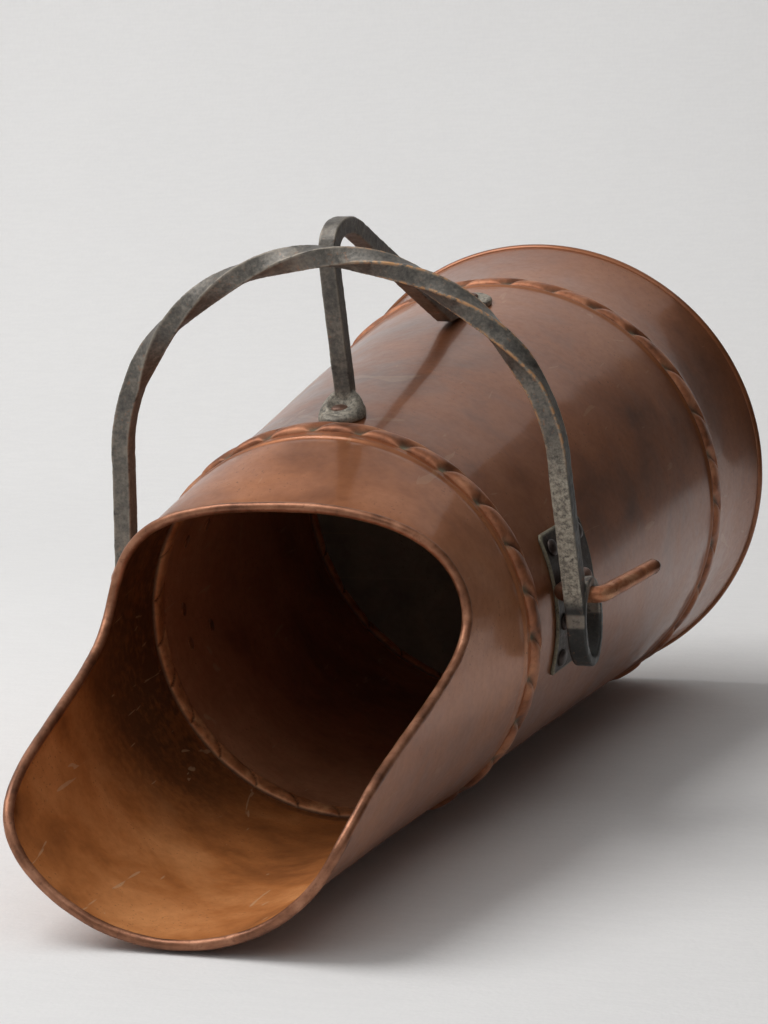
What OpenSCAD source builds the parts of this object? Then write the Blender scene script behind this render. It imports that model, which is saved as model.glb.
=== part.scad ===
// Copper coal scuttle: a tapered body on a flared foot, a scoop-shaped mouth,
// rope bands, a wrought-iron rear handle and a twisted swinging bail.
// Frame: +Z up the body axis, z = 0 on the floor, -Y towards the pouring lip.
// The bail turns about an X axis. Millimetres.

/* [Body] */
// Height from the floor to the middle of the lower rope band
foot_h = 83; // [60:1:110]
// Height of the barrel between the middles of the two rope bands
barrel_h = 290; // [250:5:330]
// Outer radius of the sheet at the lower rope band
base_r = 124; // [115:1:130]
// Outer radius of the sheet at the mouth rope band
mouth_r = 100; // [95:1:106]
// Thickness of the copper sheet
sheet_t = 1.2; // [0.8:0.1:1.6]

/* [Foot] */
// How far the foot's edge stands out beyond the lower rope band's sheet
foot_spread = 8; // [3:1:14]
// How sharply the foot flares towards the floor: 1 is a plain cone
foot_flare = 1.7; // [1:0.1:2.5]
// Outside radius of the wired rolls along the foot and the mouth
roll_r = 2.6; // [2.3:0.1:3.2]
// Height that wear has taken off the underside of the foot roll
foot_wear = 0.4; // [0.3:0.1:0.8]
// Depth of the turned-down flange around the bottom plate
bottom_flange = 5; // [3:1:8]

/* [Rope bands] */
// Height of each rope band
rope_h = 12; // [9:1:14]
// How far a rope band stands proud of the sheet
rope_rise = 3.2; // [2:0.2:4]
// Depth of the grooves between the strands
rope_groove = 1.4; // [0.6:0.2:1.8]
// Length of one strand along the mouth band
mouth_strand = 23.5; // [18:0.5:30]
// Length of one strand along the lower band
base_strand = 26.5; // [20:0.5:34]

/* [Scoop] */
// Height of the rim at the back, above the mouth band
back_h = 67; // [55:1:75]
// Height of the rim at the shoulders, above the mouth band
side_h = 59; // [48:1:64]
// Height of the lip's end, above the mouth band
lip_h = 220; // [190:2:240]
// Width across the lip's end
lip_w = 171; // [160:1:190]
// Distance from the body axis to the lip's front edge
lip_reach = 81; // [74:1:92]
// Distance from the body axis to the rim at the back
back_reach = 79; // [74:1:90]
// Squareness of the rim at the back: 2 is an ellipse
back_square = 2.8; // [2:0.1:3.4]
// Direction, seen from above, where the rim climbs to the lip
turn_at = -4; // [-10:1:0]
// Angle over which the rim climbs to the lip
turn_soft = 12; // [9:1:16]

/* [Rear handle] */
// Width and thickness of the rear handle's bar
handle_bar = 9; // [7:0.5:11]
// Distance from the body axis to the middle of the handle's top
handle_reach = 194; // [180:1:205]
// Drop from the mouth band to the upper leg's top
leg_drop = 18; // [17:1:26]
// Further drop of the upper leg at its foot
leg_lean = 12; // [8:1:15]
// Radius of the bend at the top of the upper leg
top_bend = 13; // [9:1:18]
// Radius of the shoulder after the top bend
shoulder_bend = 45; // [30:5:60]
// Slope of the handle's long run, from the body axis
handle_slope = 26; // [24:1:34]
// Length of each leaf-shaped foot pad
pad_l = 30; // [26:1:34]
// Width of each leaf-shaped foot pad
pad_w = 24; // [18:1:28]
// Thickness of each foot pad
pad_t = 4.5; // [3:0.5:6]
// Length of the handle's lower leg, from the long run to its foot's rivet
low_leg_l = 48; // [40:2:60]

/* [Bail] */
// Width and thickness of the bail's bar
bail_bar = 9.5; // [8:0.5:11]
// Distance from the pivot axis to the middle of the arch
bail_reach = 170.5; // [166:0.5:176]
// Height of the straight legs above the pivot axis
bail_leg_h = 66.5; // [50:0.5:85]
// Width between the middles of the legs, where the arch starts
bail_w = 229; // [225:1:240]
// Twist along the arch
bail_twist = 540; // [180:180:720]
// Share of the arch that stays plain at each end, in percent
plain_ends = 13; // [0:1:20]
// Length of the oval hole in each eye
eye_hole_l = 36; // [32:1:40]
// Width of the oval hole in each eye
eye_hole_w = 25; // [20:1:28]
// Width of the metal around each eye's hole
eye_wall = 4.5; // [3.5:0.5:6]

/* [Hooks and ear plates] */
// Radius of the hooks' rod
rod_r = 4.2; // [3.5:0.1:4.6]
// Drop from the mouth band to the pivot axis
pivot_drop = 22; // [19:1:25]
// Offset of the pivot axis behind the body axis
pivot_y = 13.5; // [11:0.5:16]
// Length of each hook's shank, brazed along its plate
shank_l = 30; // [26:1:40]
// Length of each hook's tail
tail_l = 43; // [35:1:60]
// Angle that each tail turns down from the pin
tail_turn = 72; // [65:1:88]
// Swing of each tail towards the back
tail_swing = 4; // [0:1:20]
// Offset of the ear plates' middle behind the body axis
ear_y = 4; // [0:1:8]
// Width of each ear plate
ear_w = 72; // [68:1:80]
// Height of each ear plate
ear_h = 52; // [44:1:60]
// Drop from the mouth band to the ear plates' upper edge
ear_drop = 31; // [26:1:36]
// Thickness of each ear plate
ear_t = 2; // [1.5:0.5:3]

/* [Rivets] */
// Radius of the rivets' shanks
rivet_r = 2.4; // [1.8:0.2:2.8]
// Radius of the rivets' domed heads
rivet_head_r = 4.4; // [3.6:0.2:4.8]
// Height of the rivets' domed heads
rivet_head_h = 2.2; // [1.6:0.2:3]
// Gap between two rivets in an ear plate's upper row
rivet_step = 18.5; // [16:0.5:20]
// Distance from an ear plate's edges to its rivets
rivet_edge = 8; // [6:1:10]

/* [Clearances] */
// Clearance of the eyes on the hooks, and of the resting bail
rest_gap = 0.3; // [0.2:0.05:0.5]
// Side clearance of each eye along its pin
side_gap = 1.6; // [1:0.1:3]
// Clearance of a rivet in its hole, and of seated sheet edges
seat_gap = 0.05; // [0.02:0.01:0.1]

/* [Hidden] */
$fn = 96;
copper = [0.55, 0.33, 0.24];
bright_copper = [0.68, 0.42, 0.30];
iron = [0.24, 0.24, 0.23];

band_z = foot_h + barrel_h;               // middle of the mouth band
base_top = foot_h + rope_h / 2;           // where the barrel stands on the lower band
barrel_top = band_z - rope_h / 2;         // where the mouth band stands on the barrel
scoop_z = band_z + rope_h / 2;            // where the scoop stands on the mouth band
barrel_len = barrel_top - base_top;
taper = (base_r - mouth_r) / barrel_len;  // growth of the barrel's radius going down
taper_deg = atan(taper);
foot_edge_r = base_r + foot_spread;       // where the foot's sheet meets its bottom roll
roll_step = 37.5;                         // angle between the points of the rim roll
flat_cos = cos(roll_step / 2);            // flat of the roll's profile, from its radius
roll_slot = 1.2;                          // width of the foot roll's open seam
roll_z = roll_r - foot_wear;              // height of the foot roll's middle
foot_low = roll_z + roll_r + seat_gap;    // lower edge of the foot's sheet
wire_r = (roll_r - sheet_t) * flat_cos - seat_gap;
back_from = 20;                           // direction where the rim rises to the back
back_over = 45;                           // angle over which it rises
cols = 96;                                // columns round the scoop
rows = 7;                                 // rows up the scoop
col_pull = 15;                            // draws the columns to where the rim climbs
rope_rows = 5;                            // points across a strand
strand_lean = 200;                        // lean of a strand, as its turn over the band
inner_head = 0.8;                         // height of the rivets' flat inner heads
inner_head_r = 0.8 * rivet_head_r;
drill_l = 30;                             // length of the drill for a rivet's hole
knee_gap = 3;                             // gap between the barrel and the handle's knee
pivot_z = band_z - pivot_drop;
leg_z = band_z - leg_drop;
pin_room = rod_r + rest_gap;              // radius that the pin needs in the eye's hole
eye_inset = 0.5;                          // how far the bar's face lies behind the eye's
hook_bend = 6;                            // bend between shank and pin
upset_r = rod_r + 0.1;                    // radius of the hooks' bends, upset in bending
bend_lap = 0.3;                           // how far a straight runs into its bend
tail_bend = 6;                            // bend between pin and tail
arch_full = 1.94;                         // 2 makes the arch an ellipse
arch_n = 22;                              // steps along half of the arch
eye_steps = 48;                           // corners round an eye

function ease(u) = u <= 0 ? 0 : u >= 1 ? 1 : u * u * (3 - 2 * u);
function soft_step(u) = 1 / (1 + exp(-2 * u));
function unit(v) = v / norm(v);
function barrel_r(z) = mouth_r + taper * (barrel_top - z);
function fold(a) = asin(sin(a));          // the same on the left and on the right

// Height of the rim above the mouth band, in the direction a seen from above
function rim_h(a) =
    let (e = fold(a))
    side_h + (lip_h - side_h) * soft_step((turn_at - e) / turn_soft)
    + (back_h - side_h) * ease((e - back_from) / back_over);

// Outer radius of the scoop in the direction a, at the height h above the band
function scoop_r(a, h) =
    let (
        back = fold(a) >= 0,
        up = h / lip_h,
        rise = min(1, h / back_h),
        wide = lip_w / 2 + (mouth_r - lip_w / 2) * pow(1 - up, 2),
        deep = back ? mouth_r + (back_reach - mouth_r) * rise
                    : mouth_r + (lip_reach - mouth_r) * up,
        n = back ? 2 + (back_square - 2) * rise : 2
    )
    pow(pow(abs(cos(a)) / wide, n) + pow(abs(sin(a)) / deep, n), -1 / n);

function col_a(i) = let (u = 360 * i / cols) u - col_pull * sin(2 * u);
function on_scoop(a, h, inset) =
    let (r = scoop_r(a, h) - inset)
    [r * cos(a), r * sin(a), scoop_z + h];
function rim_point(i) = let (a = col_a(i)) on_scoop(a, rim_h(a), sheet_t / 2);

// Directions at a rim point: out of the sheet's side, and on past its edge
function rim_axes(i) =
    let (
        a = col_a(i),
        along = unit(rim_point(i + 1) - rim_point(i - 1)),
        past = unit(cross([cos(a), sin(a), 0], along)),
        out = unit(cross(along, past))
    )
    [out, past];

// A ring of closed profiles: grid[i][j] is point j of profile i
module ring_skin(grid) {
    n = len(grid);
    m = len(grid[0]);
    polyhedron(
        points = [for (g = grid) for (p = g) p],
        faces = [for (i = [0:n - 1]) for (j = [0:m - 1])
            let (i2 = (i + 1) % n, j2 = (j + 1) % m, a = i * m + j, b = i * m + j2,
                 c = i2 * m + j2, d = i2 * m + j)
            each [[a, b, c], [a, c, d]]]);
}

// A bar along a row of profiles, closed at both ends
module bar_skin(grid) {
    n = len(grid);
    m = len(grid[0]);
    polyhedron(
        points = [for (g = grid) for (p = g) p],
        faces = concat(
            [[for (j = [0:m - 1]) j]],
            [[for (j = [m - 1:-1:0]) (n - 1) * m + j]],
            [for (i = [0:n - 2]) for (j = [0:m - 1])
                let (j2 = (j + 1) % m, a = i * m + j, b = (i + 1) * m + j,
                     c = (i + 1) * m + j2, d = i * m + j2)
                each [[a, b, c], [a, c, d]]]));
}

// A solid of revolution between two radii that follow the barrel's taper
module barrel_shell(low, high, inset, thick) {
    rotate_extrude()
        polygon([[barrel_r(low) - inset, low], [barrel_r(low) - inset + thick, low],
                 [barrel_r(high) - inset + thick, high], [barrel_r(high) - inset, high]]);
}

// Puts its children on the barrel, their +Z out of the sheet, in the direction a
module on_barrel(a, z) {
    rotate([0, 0, a])
        translate([barrel_r(z), 0, z])
        rotate([0, 90 - taper_deg, 0])
        children();
}

module rivet_hole(a, z) {
    on_barrel(a, z) cylinder(h = drill_l, r = rivet_r + seat_gap, center = true);
}

// A rivet through the sheet and through a piece of the thickness grip on it
module rivet(a, z, grip) {
    dome_r = (pow(rivet_head_r, 2) + pow(rivet_head_h, 2)) / (2 * rivet_head_h);
    below = sheet_t + seat_gap + inner_head;
    on_barrel(a, z) {
        translate([0, 0, -below]) cylinder(h = below + grip + seat_gap, r = rivet_r);
        translate([0, 0, -below - seat_gap]) cylinder(h = inner_head, r = inner_head_r);
        translate([0, 0, grip + seat_gap])
            intersection() {
                translate([0, 0, rivet_head_h - dome_r]) sphere(r = dome_r);
                cylinder(h = rivet_head_h, r = rivet_head_r);
            }
    }
}

// Places of the rivets in one ear plate: [sideways from its middle, drop]; the upper row
// leaves the place of the hook's shank free
ear_rivets = concat(
    [for (k = [-1.5, -0.5, 1.5]) [k * rivet_step, ear_drop + rivet_edge]],
    [for (s = [-1, 1]) [s * (ear_w / 2 - rivet_edge), ear_drop + ear_h - rivet_edge]]);

function ear_angle(y, z) = asin((ear_y + y) / barrel_r(z));

// Rope band: strands that lean across a half-round ring
module rope_band(r, z, strand) {
    strands = round(360 * r * PI / 180 / strand);
    steps = strands * 4;
    ring_skin([for (i = [0:steps - 1])
        let (a = 360 * i / steps)
        [for (p = concat(
            [[r - sheet_t, z - rope_h / 2]],
            [for (k = [0:rope_rows + 1])
                let (
                    v = k / (rope_rows + 1) - 0.5,
                    round_up = sqrt(max(0, 1 - 4 * v * v)),
                    phase = strands * a - strand_lean * v,
                    valley = pow(cos(phase / 2), 2)
                )
                [r + (rope_rise - rope_groove * pow(valley, 3)) * round_up, z + v * rope_h]],
            [[r - sheet_t, z + rope_h / 2]]))
            [p[0] * cos(a), p[0] * sin(a), p[1]]]]);
}

module foot() {
    high = foot_h - rope_h / 2;
    steps = 12;
    side = [for (k = [0:steps])
        let (u = k / steps)
        [base_r + (foot_edge_r + sheet_t / 2 - base_r) * pow(1 - u, foot_flare),
         foot_low + (high - foot_low) * u]];
    color(copper)
        rotate_extrude()
        polygon(concat(side, [for (k = [steps:-1:0]) side[k] - [sheet_t, 0]]));
}

module foot_roll() {
    color(bright_copper)
        rotate_extrude()
        intersection() {
            translate([foot_edge_r, roll_z])
                difference() {
                    circle(r = roll_r);
                    circle(r = roll_r - sheet_t);
                    rotate(-60) translate([roll_r - 1.5 * sheet_t, -roll_slot / 2])
                        square([2 * sheet_t, roll_slot]);
                }
            translate([foot_edge_r - 2 * roll_r, 0]) square(4 * roll_r);
        }
}

module foot_wire() {
    color(iron)
        rotate_extrude()
        translate([foot_edge_r, roll_z])
        circle(r = roll_r - sheet_t - seat_gap);
}

module base_band() {
    color(bright_copper) rope_band(base_r, foot_h, base_strand);
}

module mouth_band() {
    color(bright_copper) rope_band(mouth_r, band_z, mouth_strand);
}

module bottom_plate() {
    edge = base_r - sheet_t - 2 * seat_gap;
    color(copper)
        translate([0, 0, foot_h])
        difference() {
            translate([0, 0, -bottom_flange + sheet_t]) cylinder(h = bottom_flange, r = edge);
            translate([0, 0, -bottom_flange]) cylinder(h = bottom_flange, r = edge - sheet_t);
        }
}

module barrel() {
    color(copper)
        difference() {
            barrel_shell(base_top, barrel_top, sheet_t, sheet_t);
            for (z = handle_rivet_z) rivet_hole(90, z);
            for (q = ear_rivets) {
                z = band_z - q[1];
                rivet_hole(ear_angle(q[0], z), z);
                rivet_hole(180 - ear_angle(q[0], z), z);
            }
        }
}

module scoop() {
    color(copper)
        ring_skin([for (i = [0:cols - 1])
            let (a = col_a(i), top = rim_h(a))
            concat(
                [for (j = [0:rows]) on_scoop(a, top * j / rows, 0)],
                [for (j = [rows:-1:0]) on_scoop(a, top * j / rows, sheet_t)])]);
}

// A profile carried along the rim, in the directions of rim_axes
module along_rim(profile) {
    ring_skin([for (i = [0:cols - 1])
        let (c = rim_point(i), d = rim_axes(i), mid = c + roll_r * flat_cos * d[1])
        [for (p = profile) mid + p[0] * d[0] + p[1] * d[1]]]);
}

module rim_roll() {
    turn = [for (k = [0:8]) roll_step * (k - 0.3)];
    inside = roll_r - sheet_t;
    color(bright_copper)
        along_rim(concat(
            [for (w = turn) roll_r * [cos(w), sin(w)]],
            [for (k = [8:-1:0]) inside * [cos(turn[k]), sin(turn[k])]]));
}

module rim_wire() {
    color(iron) along_rim([for (k = [0:7]) wire_r * [cos(45 * k), sin(45 * k)]]);
}

// The rear handle's middle line in the plane x = 0, as [y, z, half thickness]
turn_1 = 80;
turn_2 = 90 + handle_slope;
leg_top = [handle_reach - top_bend, leg_z];
bend_1 = [for (w = [0:20:turn_1]) leg_top + top_bend * [sin(w), cos(w) - 1]];
bend_2_mid = bend_1[len(bend_1) - 1] - shoulder_bend * [sin(turn_1), cos(turn_1)];
bend_2 = [for (k = [1:4])
    let (w = turn_1 + (turn_2 - turn_1) * k / 4)
    bend_2_mid + shoulder_bend * [sin(w), cos(w)]];
run_top = bend_2[3];
run_l = (run_top[0] - barrel_r(run_top[1]) - handle_bar / 2 - knee_gap)
        / (sin(handle_slope) + taper * cos(handle_slope));
run_low = run_top - run_l * [sin(handle_slope), cos(handle_slope)];
leg_foot_z = leg_z - leg_lean;
low_foot_z = run_low[1] - low_leg_l;
// The upper rivet's head stands clear above the sloping leg
leg_slope = atan(leg_lean / (leg_top[0] - barrel_r(leg_foot_z)));
leg_rivet_z = leg_foot_z + handle_bar / 2 / cos(leg_slope)
            + (pad_t + rivet_head_h) * tan(leg_slope) + rivet_head_r + rest_gap;
handle_rivet_z = [leg_rivet_z, low_foot_z];
// Heights of the handle's two foot pads; the upper one ends under the mouth band
handle_feet = [min(leg_rivet_z - pad_l / 12, barrel_top - pad_l / 2 - rest_gap), low_foot_z];

// A point of the lower leg, the share u of the way down it, with the gap lift under it
function low_leg(u, thick, lift) =
    let (z = run_low[1] - low_leg_l * u)
    [barrel_r(z) + seat_gap + lift + thick / 2, z, thick / 2];
handle_line = concat(
    [[barrel_r(leg_foot_z) + 1, leg_foot_z, handle_bar / 2]],
    [for (p = concat(bend_1, bend_2)) [p[0], p[1], handle_bar / 2]],
    [[run_low[0], run_low[1], handle_bar / 2]],
    [low_leg(0.25, handle_bar * 0.97, 1.5), low_leg(0.55, handle_bar * 0.75, 0.4)],
    [low_leg(0.8, (handle_bar * 0.5 + pad_t) / 2, 0), low_leg(1, pad_t - 2 * seat_gap, 0)]);

// Leaf outline with its points along y
function leaf(l, w) = [for (k = [0:23])
    let (a = 15 * k)
    [w / 2 * sin(a) * (0.75 + 0.25 * abs(sin(a))), l / 2 * cos(a)]];

module foot_pad(z) {
    intersection() {
        barrel_shell(z - pad_l, z + pad_l, -seat_gap, pad_t);
        translate([0, mouth_r / 2, z]) rotate([-90, 0, 0])
            linear_extrude(base_r) polygon(leaf(pad_l, pad_w));
    }
}

module rear_handle() {
    n = len(handle_line);
    half = handle_bar / 2;
    color(iron)
        difference() {
            union() {
                bar_skin([for (i = [0:n - 1])
                    let (
                        p = handle_line[i],
                        q = handle_line[min(n - 1, i + 1)] - handle_line[max(0, i - 1)],
                        t = unit([0, q[0], q[1]]),
                        up = cross(t, [1, 0, 0])
                    )
                    [for (c = [[-1, -1], [1, -1], [1, 1], [-1, 1]])
                        [c[0] * half, p[0], p[1]] + c[1] * p[2] * up]]);
                for (z = handle_feet) foot_pad(z);
            }
            for (z = handle_rivet_z) rivet_hole(90, z);
        }
}

module handle_rivets() {
    color(bright_copper)
        for (z = handle_rivet_z) rivet(90, z, pad_t + seat_gap);
}

module ear_plate(side) {
    low = band_z - ear_drop - ear_h;
    color(iron)
        difference() {
            intersection() {
                barrel_shell(low, low + ear_h, -seat_gap, ear_t);
                translate([side > 0 ? 0 : -2 * base_r, ear_y - ear_w / 2, low])
                    cube([2 * base_r, ear_w, ear_h]);
            }
            for (q = ear_rivets) {
                z = band_z - q[1];
                a = ear_angle(q[0], z);
                rivet_hole(side > 0 ? a : 180 - a, z);
            }
        }
}

module ear_rivet_set(side) {
    color(bright_copper)
        for (q = ear_rivets) {
            z = band_z - q[1];
            a = ear_angle(q[0], z);
            rivet(side > 0 ? a : 180 - a, z, ear_t + seat_gap);
        }
}

// The hook's shank lies along its plate and bends out into the pin
shank_top_z = pivot_z - hook_bend * (1 + sin(taper_deg));
plate_slant = (ear_t + 2 * seat_gap + upset_r) / cos(taper_deg);
shank_top_x = sqrt(pow(barrel_r(shank_top_z), 2) - pow(pivot_y, 2)) + plate_slant;
pin_start = shank_top_x + hook_bend * cos(taper_deg);
eye_x = pin_start + side_gap + bail_bar / 2;
pin_end = eye_x + bail_bar / 2 + rest_gap;

// A bend in the XZ plane: it starts on +X of its middle and turns towards +Z
module bend(radius, angle) {
    rotate([90, 0, 0])
        rotate_extrude(angle = angle)
        translate([radius, 0]) circle(r = upset_r, $fn = 48);
}

// A straight of the hook along +Z, from inside its bend to a round end
module round_ended(l) {
    rotate_extrude($fn = 48) {
        translate([0, -bend_lap]) square([rod_r, l + bend_lap]);
        translate([0, l]) intersection() {
            circle(r = rod_r);
            square(rod_r);
        }
    }
}

module hook(side) {
    tail_x = pin_end + tail_bend * sin(tail_turn);
    tail_z = -tail_bend * (1 - cos(tail_turn));
    color(bright_copper)
        mirror([side > 0 ? 0 : 1, 0, 0])
        translate([0, pivot_y, pivot_z]) {
            // pin
            translate([pin_start - bend_lap, 0, 0]) rotate([0, 90, 0])
                cylinder(h = pin_end - pin_start + 2 * bend_lap, r = rod_r, $fn = 48);
            // bend down to the shank, and the shank along the plate
            translate([pin_start, 0, -hook_bend])
                rotate([0, -90, 0]) bend(hook_bend, 90 + taper_deg);
            translate([shank_top_x, 0, shank_top_z - pivot_z])
                rotate([0, 180 - taper_deg, 0]) round_ended(shank_l);
            // bend to the tail, and the tail, both swung towards the back
            rotate([tail_swing, 0, 0]) {
                translate([pin_end, 0, -tail_bend])
                    mirror([1, 0, 0]) rotate([0, -90, 0]) bend(tail_bend, tail_turn);
                translate([tail_x, 0, tail_z])
                    rotate([0, 90 + tail_turn, 0]) round_ended(tail_l);
            }
        }
}

module left_hook() {
    hook(-1);
}

module right_hook() {
    hook(1);
}

module left_ear_plate() {
    ear_plate(-1);
}

module right_ear_plate() {
    ear_plate(1);
}

module left_ear_rivets() {
    ear_rivet_set(-1);
}

module right_ear_rivets() {
    ear_rivet_set(1);
}

// Distance from the pin down to the eye's middle; the pin bears on the arch side of the hole
hole_a = eye_hole_l / 2;
hole_b = eye_hole_w / 2;
eye_drop = pow(hole_b, 2) / hole_a > pin_room
    ? hole_a - pin_room
    : sqrt((pow(hole_a, 2) - pow(hole_b, 2)) * (1 - pow(pin_room / hole_b, 2)));
// The bar runs down into the front wall of the eye
bail_set = hole_b + eye_wall - eye_inset - bail_bar / 2;

// Half of the bail's middle line, [x, y] from the pivot axis, eye to apex
bail_half = concat(
    [for (u = [0, 0.5]) [eye_x + (bail_w / 2 - eye_x) * u,
                         -eye_drop + (bail_leg_h + eye_drop) * u]],
    [for (k = [0:arch_n])
        let (t = 90 * k / arch_n)
        [bail_w / 2 * pow(cos(t), 2 / arch_full),
         bail_leg_h + (bail_reach - bail_leg_h) * pow(sin(t), 2 / arch_full)]]);
bail_line = concat(
    [for (p = bail_half) [-p[0], p[1]]],
    [for (k = [len(bail_half) - 2:-1:0]) bail_half[k]]);
// Twist at station i of the middle line, which is straight up to station 2 at each end
arch_steps = len(bail_line) - 5;
plain_steps = arch_steps * plain_ends / 100;
twist_steps = arch_steps - 2 * plain_steps;
function twist_at(i) = -bail_twist * max(0, min(1, (i - 2 - plain_steps) / twist_steps));

// At rest the bail leans on the rear handle's leg, where its twist turns a corner down
apex_step = norm(bail_half[arch_n + 2] - bail_half[arch_n + 1]);
apex_turn = bail_twist / twist_steps * handle_bar / 2 / apex_step;
bail_corner = bail_bar / sqrt(2);
lie_depth = bail_corner * sin(45 + apex_turn) - bail_set;
lie_reach = bail_reach - bail_bar / 2;
bail_lean = asin((leg_z + handle_bar / 2 + rest_gap - pivot_z) / norm([lie_reach, lie_depth]))
            + atan(lie_depth / lie_reach);

// Oval across both eyes' places, grown by more around the hole, and so thick
module eye_oval(more, thick) {
    for (s = [-1, 1])
        translate([s * eye_x - thick / 2, -eye_drop, 0])
            rotate([90, 0, 90])
            linear_extrude(thick)
            polygon([for (k = [0:eye_steps - 1])
                let (a = 360 * k / eye_steps)
                [(hole_a + more) * cos(a), (hole_b + more) * sin(a)]]);
}

module bail() {
    n = len(bail_line);
    color(iron)
        translate([0, pivot_y, pivot_z])
        rotate([bail_lean, 0, 0])
        difference() {
            union() {
                bar_skin([for (i = [0:n - 1])
                    let (
                        p = bail_line[i],
                        q = bail_line[min(n - 1, i + 1)] - bail_line[max(0, i - 1)],
                        t = unit(q),
                        out = [-t[1], t[0], 0],
                        w = twist_at(i) + 45
                    )
                    [for (k = [0:3])
                        [p[0], p[1], bail_set] + bail_corner
                        * (cos(w + 90 * k) * out + sin(w + 90 * k) * [0, 0, 1])]]);
                eye_oval(eye_wall, bail_bar);
            }
            eye_oval(0, 2 * bail_bar);
        }
}

foot();
foot_roll();
foot_wire();
base_band();
bottom_plate();
barrel();
mouth_band();
scoop();
rim_roll();
rim_wire();
rear_handle();
handle_rivets();
left_ear_plate();
right_ear_plate();
left_ear_rivets();
right_ear_rivets();
left_hook();
right_hook();
bail();
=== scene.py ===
import math

import bmesh
import bpy
import numpy as np
from mathutils import Matrix, Vector, noise


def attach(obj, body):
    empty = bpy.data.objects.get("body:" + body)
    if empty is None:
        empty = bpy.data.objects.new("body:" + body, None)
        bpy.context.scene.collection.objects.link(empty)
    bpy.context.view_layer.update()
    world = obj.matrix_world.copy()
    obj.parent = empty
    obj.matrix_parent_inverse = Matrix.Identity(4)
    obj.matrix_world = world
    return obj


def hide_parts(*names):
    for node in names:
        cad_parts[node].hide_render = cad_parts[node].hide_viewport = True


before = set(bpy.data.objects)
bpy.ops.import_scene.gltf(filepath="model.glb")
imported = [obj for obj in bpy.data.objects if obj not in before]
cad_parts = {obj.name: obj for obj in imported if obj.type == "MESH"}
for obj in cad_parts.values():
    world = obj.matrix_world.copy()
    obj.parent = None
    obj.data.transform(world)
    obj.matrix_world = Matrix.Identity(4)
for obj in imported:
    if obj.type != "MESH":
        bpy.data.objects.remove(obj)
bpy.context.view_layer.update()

MM = 0.001

# Sizes as in the CAD part: lengths in millimetres, angles in degrees, shares and powers
FOOT_H, BARREL_H, BASE_R, MOUTH_R, SHEET = 83.0, 290.0, 124.0, 100.0, 1.2
FOOT_EDGE_R, FOOT_FLARE, ROLL_R, FOOT_WEAR = 132.0, 1.7, 2.6, 0.4
ROPE_H, ROPE_RISE = 12.0, 3.2
MOUTH_STRAND, BASE_STRAND = 23.5, 26.5
BACK_H, SIDE_H, LIP_H, LIP_W = 67.0, 59.0, 220.0, 171.0
LIP_REACH, BACK_REACH, BACK_SQUARE = 81.0, 79.0, 2.8
TURN_AT, TURN_SOFT, COL_PULL = -4.0, 12.0, 15.0
HANDLE_BAR, HANDLE_REACH, LEG_DROP, LEG_LEAN = 9.0, 194.0, 18.0, 12.0
TOP_BEND, SHOULDER_BEND, HANDLE_SLOPE = 13.0, 45.0, 26.0
PAD_L, PAD_W, PAD_T, LOW_LEG_L, KNEE_GAP = 30.0, 24.0, 4.5, 48.0, 3.0
BAIL_BAR, BAIL_REACH, BAIL_LEG_H, BAIL_W, BAIL_TWIST = 9.5, 170.5, 66.5, 229.0, 540.0
HOLE_A, HOLE_B, EYE_WALL, EYE_INSET, PLAIN_ENDS = 18.0, 12.5, 4.5, 0.5, 0.13
ROD_R, PIVOT_DROP, PIVOT_Y, SHANK_L, TAIL_L = 4.2, 22.0, 13.5, 30.0, 43.0
TAIL_TURN, TAIL_SWING, HOOK_BEND, TAIL_BEND = 72.0, 4.0, 6.0, 6.0
EAR_W, EAR_H, EAR_DROP, EAR_T, EAR_Y = 72.0, 52.0, 31.0, 2.0, 4.0
RIVET_R, RIVET_HEAD_R, RIVET_HEAD_H, RIVET_STEP, RIVET_EDGE = 2.4, 4.4, 2.2, 18.5, 8.0
REST_GAP, SIDE_GAP, SEAT_GAP, ROD_GAP = 0.3, 1.6, 0.05, 0.1
ROLL_FLAT, ARCH_FULL, ARCH_N = 37.5, 1.94, 22

BAND_Z = FOOT_H + BARREL_H
BASE_TOP = FOOT_H + ROPE_H / 2
BARREL_TOP = BAND_Z - ROPE_H / 2
SCOOP_Z = BAND_Z + ROPE_H / 2
TAPER = (BASE_R - MOUTH_R) / (BARREL_TOP - BASE_TOP)
TAPER_DEG = math.degrees(math.atan(TAPER))
ROLL_Z = ROLL_R - FOOT_WEAR
FOOT_LOW = ROLL_Z + ROLL_R + SEAT_GAP
FLAT_COS = math.cos(math.radians(ROLL_FLAT / 2))
PIVOT_Z = BAND_Z - PIVOT_DROP
LEG_Z = BAND_Z - LEG_DROP
LEG_FOOT_Z = LEG_Z - LEG_LEAN
EYE_DROP = HOLE_A - ROD_R - REST_GAP
BAIL_SET = HOLE_B + EYE_WALL - EYE_INSET - BAIL_BAR / 2

# Fineness of the scene's own meshes: steps round a ring or section, and along a line
FOOT_STEPS, BARREL_STEPS, BOTTOM_STEPS, SCOOP_STEPS, RIM_STEPS = 288, 320, 200, 432, 640
STRAND_STEPS, EYE_STEPS, RIVET_STEPS, ROD_STEPS, PAD_STEPS = 26, 96, 40, 40, 64
ARCH_SAMPLES, BAIL_LEG_SAMPLES, CORNER_STEPS = 265, 45, 4

SEED_STEPS = (17.3, 5.9, 11.1)
X_AXIS, Y_AXIS, Z_AXIS = np.eye(3)


def sin(d):
    return np.sin(np.radians(d))


def cos(d):
    return np.cos(np.radians(d))


def unit(v):
    v = np.asarray(v, float)
    return v / np.linalg.norm(v, axis=-1, keepdims=True)


def smooth(x, low, high):
    """Rises smoothly from 0 at low to 1 at high."""
    u = np.clip((x - low) / (high - low), 0, 1)
    return u * u * (3 - 2 * u)


def bell(x, centre, width):
    """1 at the centre, next to nothing two widths away from it."""
    return np.exp(-((x - centre) / width) ** 2)


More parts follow.
